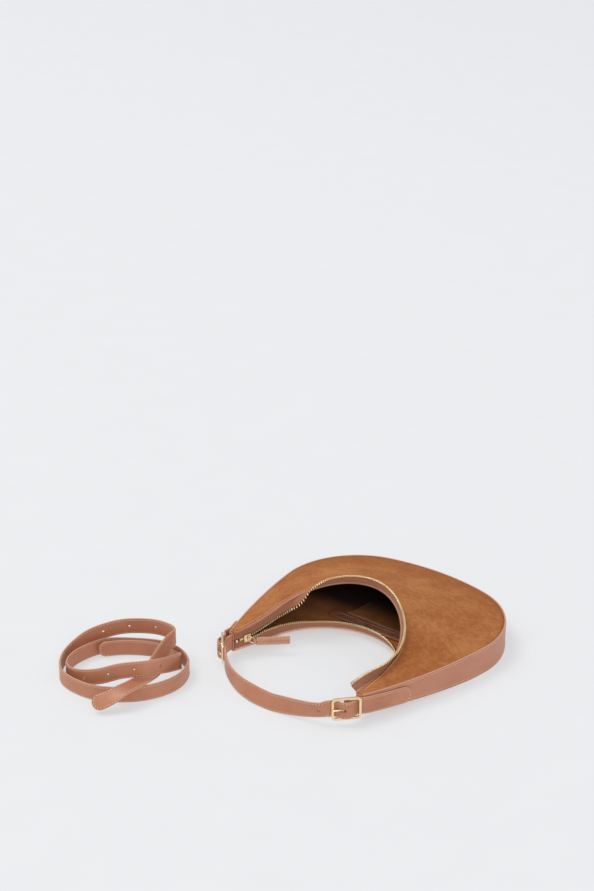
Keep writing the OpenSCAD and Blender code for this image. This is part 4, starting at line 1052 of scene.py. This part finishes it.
# The pull tab: a doubled strip of leather folded round the puller's wire
tab = {"length": 42.0, "width": 10.5, "thick": 2.6, "corner": 1.4, "swing": 32.0, "start": 1.7, "steps": 12,
       "sewInset": 1.9}
tabRoll = {"radius": 1.85, "depth": 5.0, "sides": 24}
tabPivot = Vector(joints["tab_swing"]["pos_m"]) / mm
slideWay = Vector(joints["zip_slide"]["axis"])
asideWay = Vector((slideWay.y, -slideWay.x, 0))
tabWay = slideWay * cos(radians(tab["swing"])) + asideWay * sin(radians(tab["swing"]))
tabKnots = []
for k in range(tab["steps"] + 1):
    knot = tabPivot + tabWay * mix(tab["start"], tab["length"], k / tab["steps"])
    tabKnots.append(Vector((*knot, 0)))
tabBand = Band(tabKnots)
tabMesh = bandMesh(tabBand, tab)
addRound(tabMesh, tabRoll, Matrix.Translation(tabPivot))
finishPiece("pullTabStrip", tabMesh, "pull_tab", [tabLeather, leatherEdge], "leather", ["zip_pull_tab"])
sewStrap("pullTabStitches", tabBand, tab, "pull_tab", tab["sewInset"])

# Stitch rows along both edges of the gusset, and on the suede beside the mouth
sewing = {"steps": 400, "gussetHigh": 2.4, "gussetLow": 3.2, "mouthInset": 3.2, "leastWidth": 12.0}
places = acrossBag(sewing["steps"])
gussetSewing = bmesh.new()
for high in (True, False):
    points, outs = [], []
    for q in places:
        spot = rim(q, 0)
        height = rimHigh(spot.y) - sewing["gussetHigh"] if high else rimLow(spot.y) + sewing["gussetLow"]
        points.append(Vector((*spot, height)))
        outs.append((spot - rim(q, rimInset)).normalized().to_3d())
    sewRow(gussetSewing, points, outs)
finishPiece("gussetStitches", gussetSewing, "bag", [rosyThread, needleHoleShade])


def panelWidth(q):
    return (rim(q, rimInset) - frontMouth(q, 0)).length


mouthSewing = bmesh.new()
points = [frontSpot(q, sewing["mouthInset"] / panelWidth(q), 0) for q in places
          if panelWidth(q) > sewing["leastWidth"]]
suedeOut = Vector((0, 0.3, 1)).normalized()
sewRow(mouthSewing, points, [suedeOut] * len(points))
finishPiece("mouthStitches", mouthSewing, "bag", [paleThread, needleHoleShade])
print("sewing done")

# Floor, light and the world's own glow, in metres
studio = {"floorHalf": 20, "sky": 0.62, "skyColour": "#F6F8FB", "lampColour": "#FFFBF5",
          "aim": (0, -0.15, 0), "keyPower": 330.0, "keySize": 5.0, "keyPlace": (-4.0, -2.0, 8.0),
          "fillPower": 170.0, "fillSize": 4.0, "fillPlace": (6.0, -5.0, 5.0)}
floorMesh = bmesh.new()
bmesh.ops.create_grid(floorMesh, x_segments=2, y_segments=2, size=studio["floorHalf"])
floorData = bpy.data.meshes.new("studioFloor")
floorMesh.to_mesh(floorData)
floorMesh.free()
floorData.materials.append(makePaper())
studioFloor = addObject("studioFloor", floorData)

bpy.context.scene.view_settings.view_transform = "Standard"  # plain product colours, as a shop photograph has
world = bpy.data.worlds.new("studio")
bpy.context.scene.world = world
world.use_nodes = True
world.node_tree.nodes["Background"].inputs["Color"].default_value = fromHex(studio["skyColour"])
world.node_tree.nodes["Background"].inputs["Strength"].default_value = studio["sky"]


def addSoftbox(word):
    data = bpy.data.lights.new(word + "Softbox", "AREA")
    data.shape = "DISK"
    data.size = studio[word + "Size"]
    data.energy = studio[word + "Power"]
    data.color = fromHex(studio["lampColour"])[:3]
    lamp = addObject(word + "Softbox", data)
    place = Vector(studio[word + "Place"])
    lamp.location = place
    lamp.rotation_euler = (Vector(studio["aim"]) - place).to_track_quat("-Z", "Y").to_euler()


addSoftbox("key")
addSoftbox("fill")
print("studio lit")
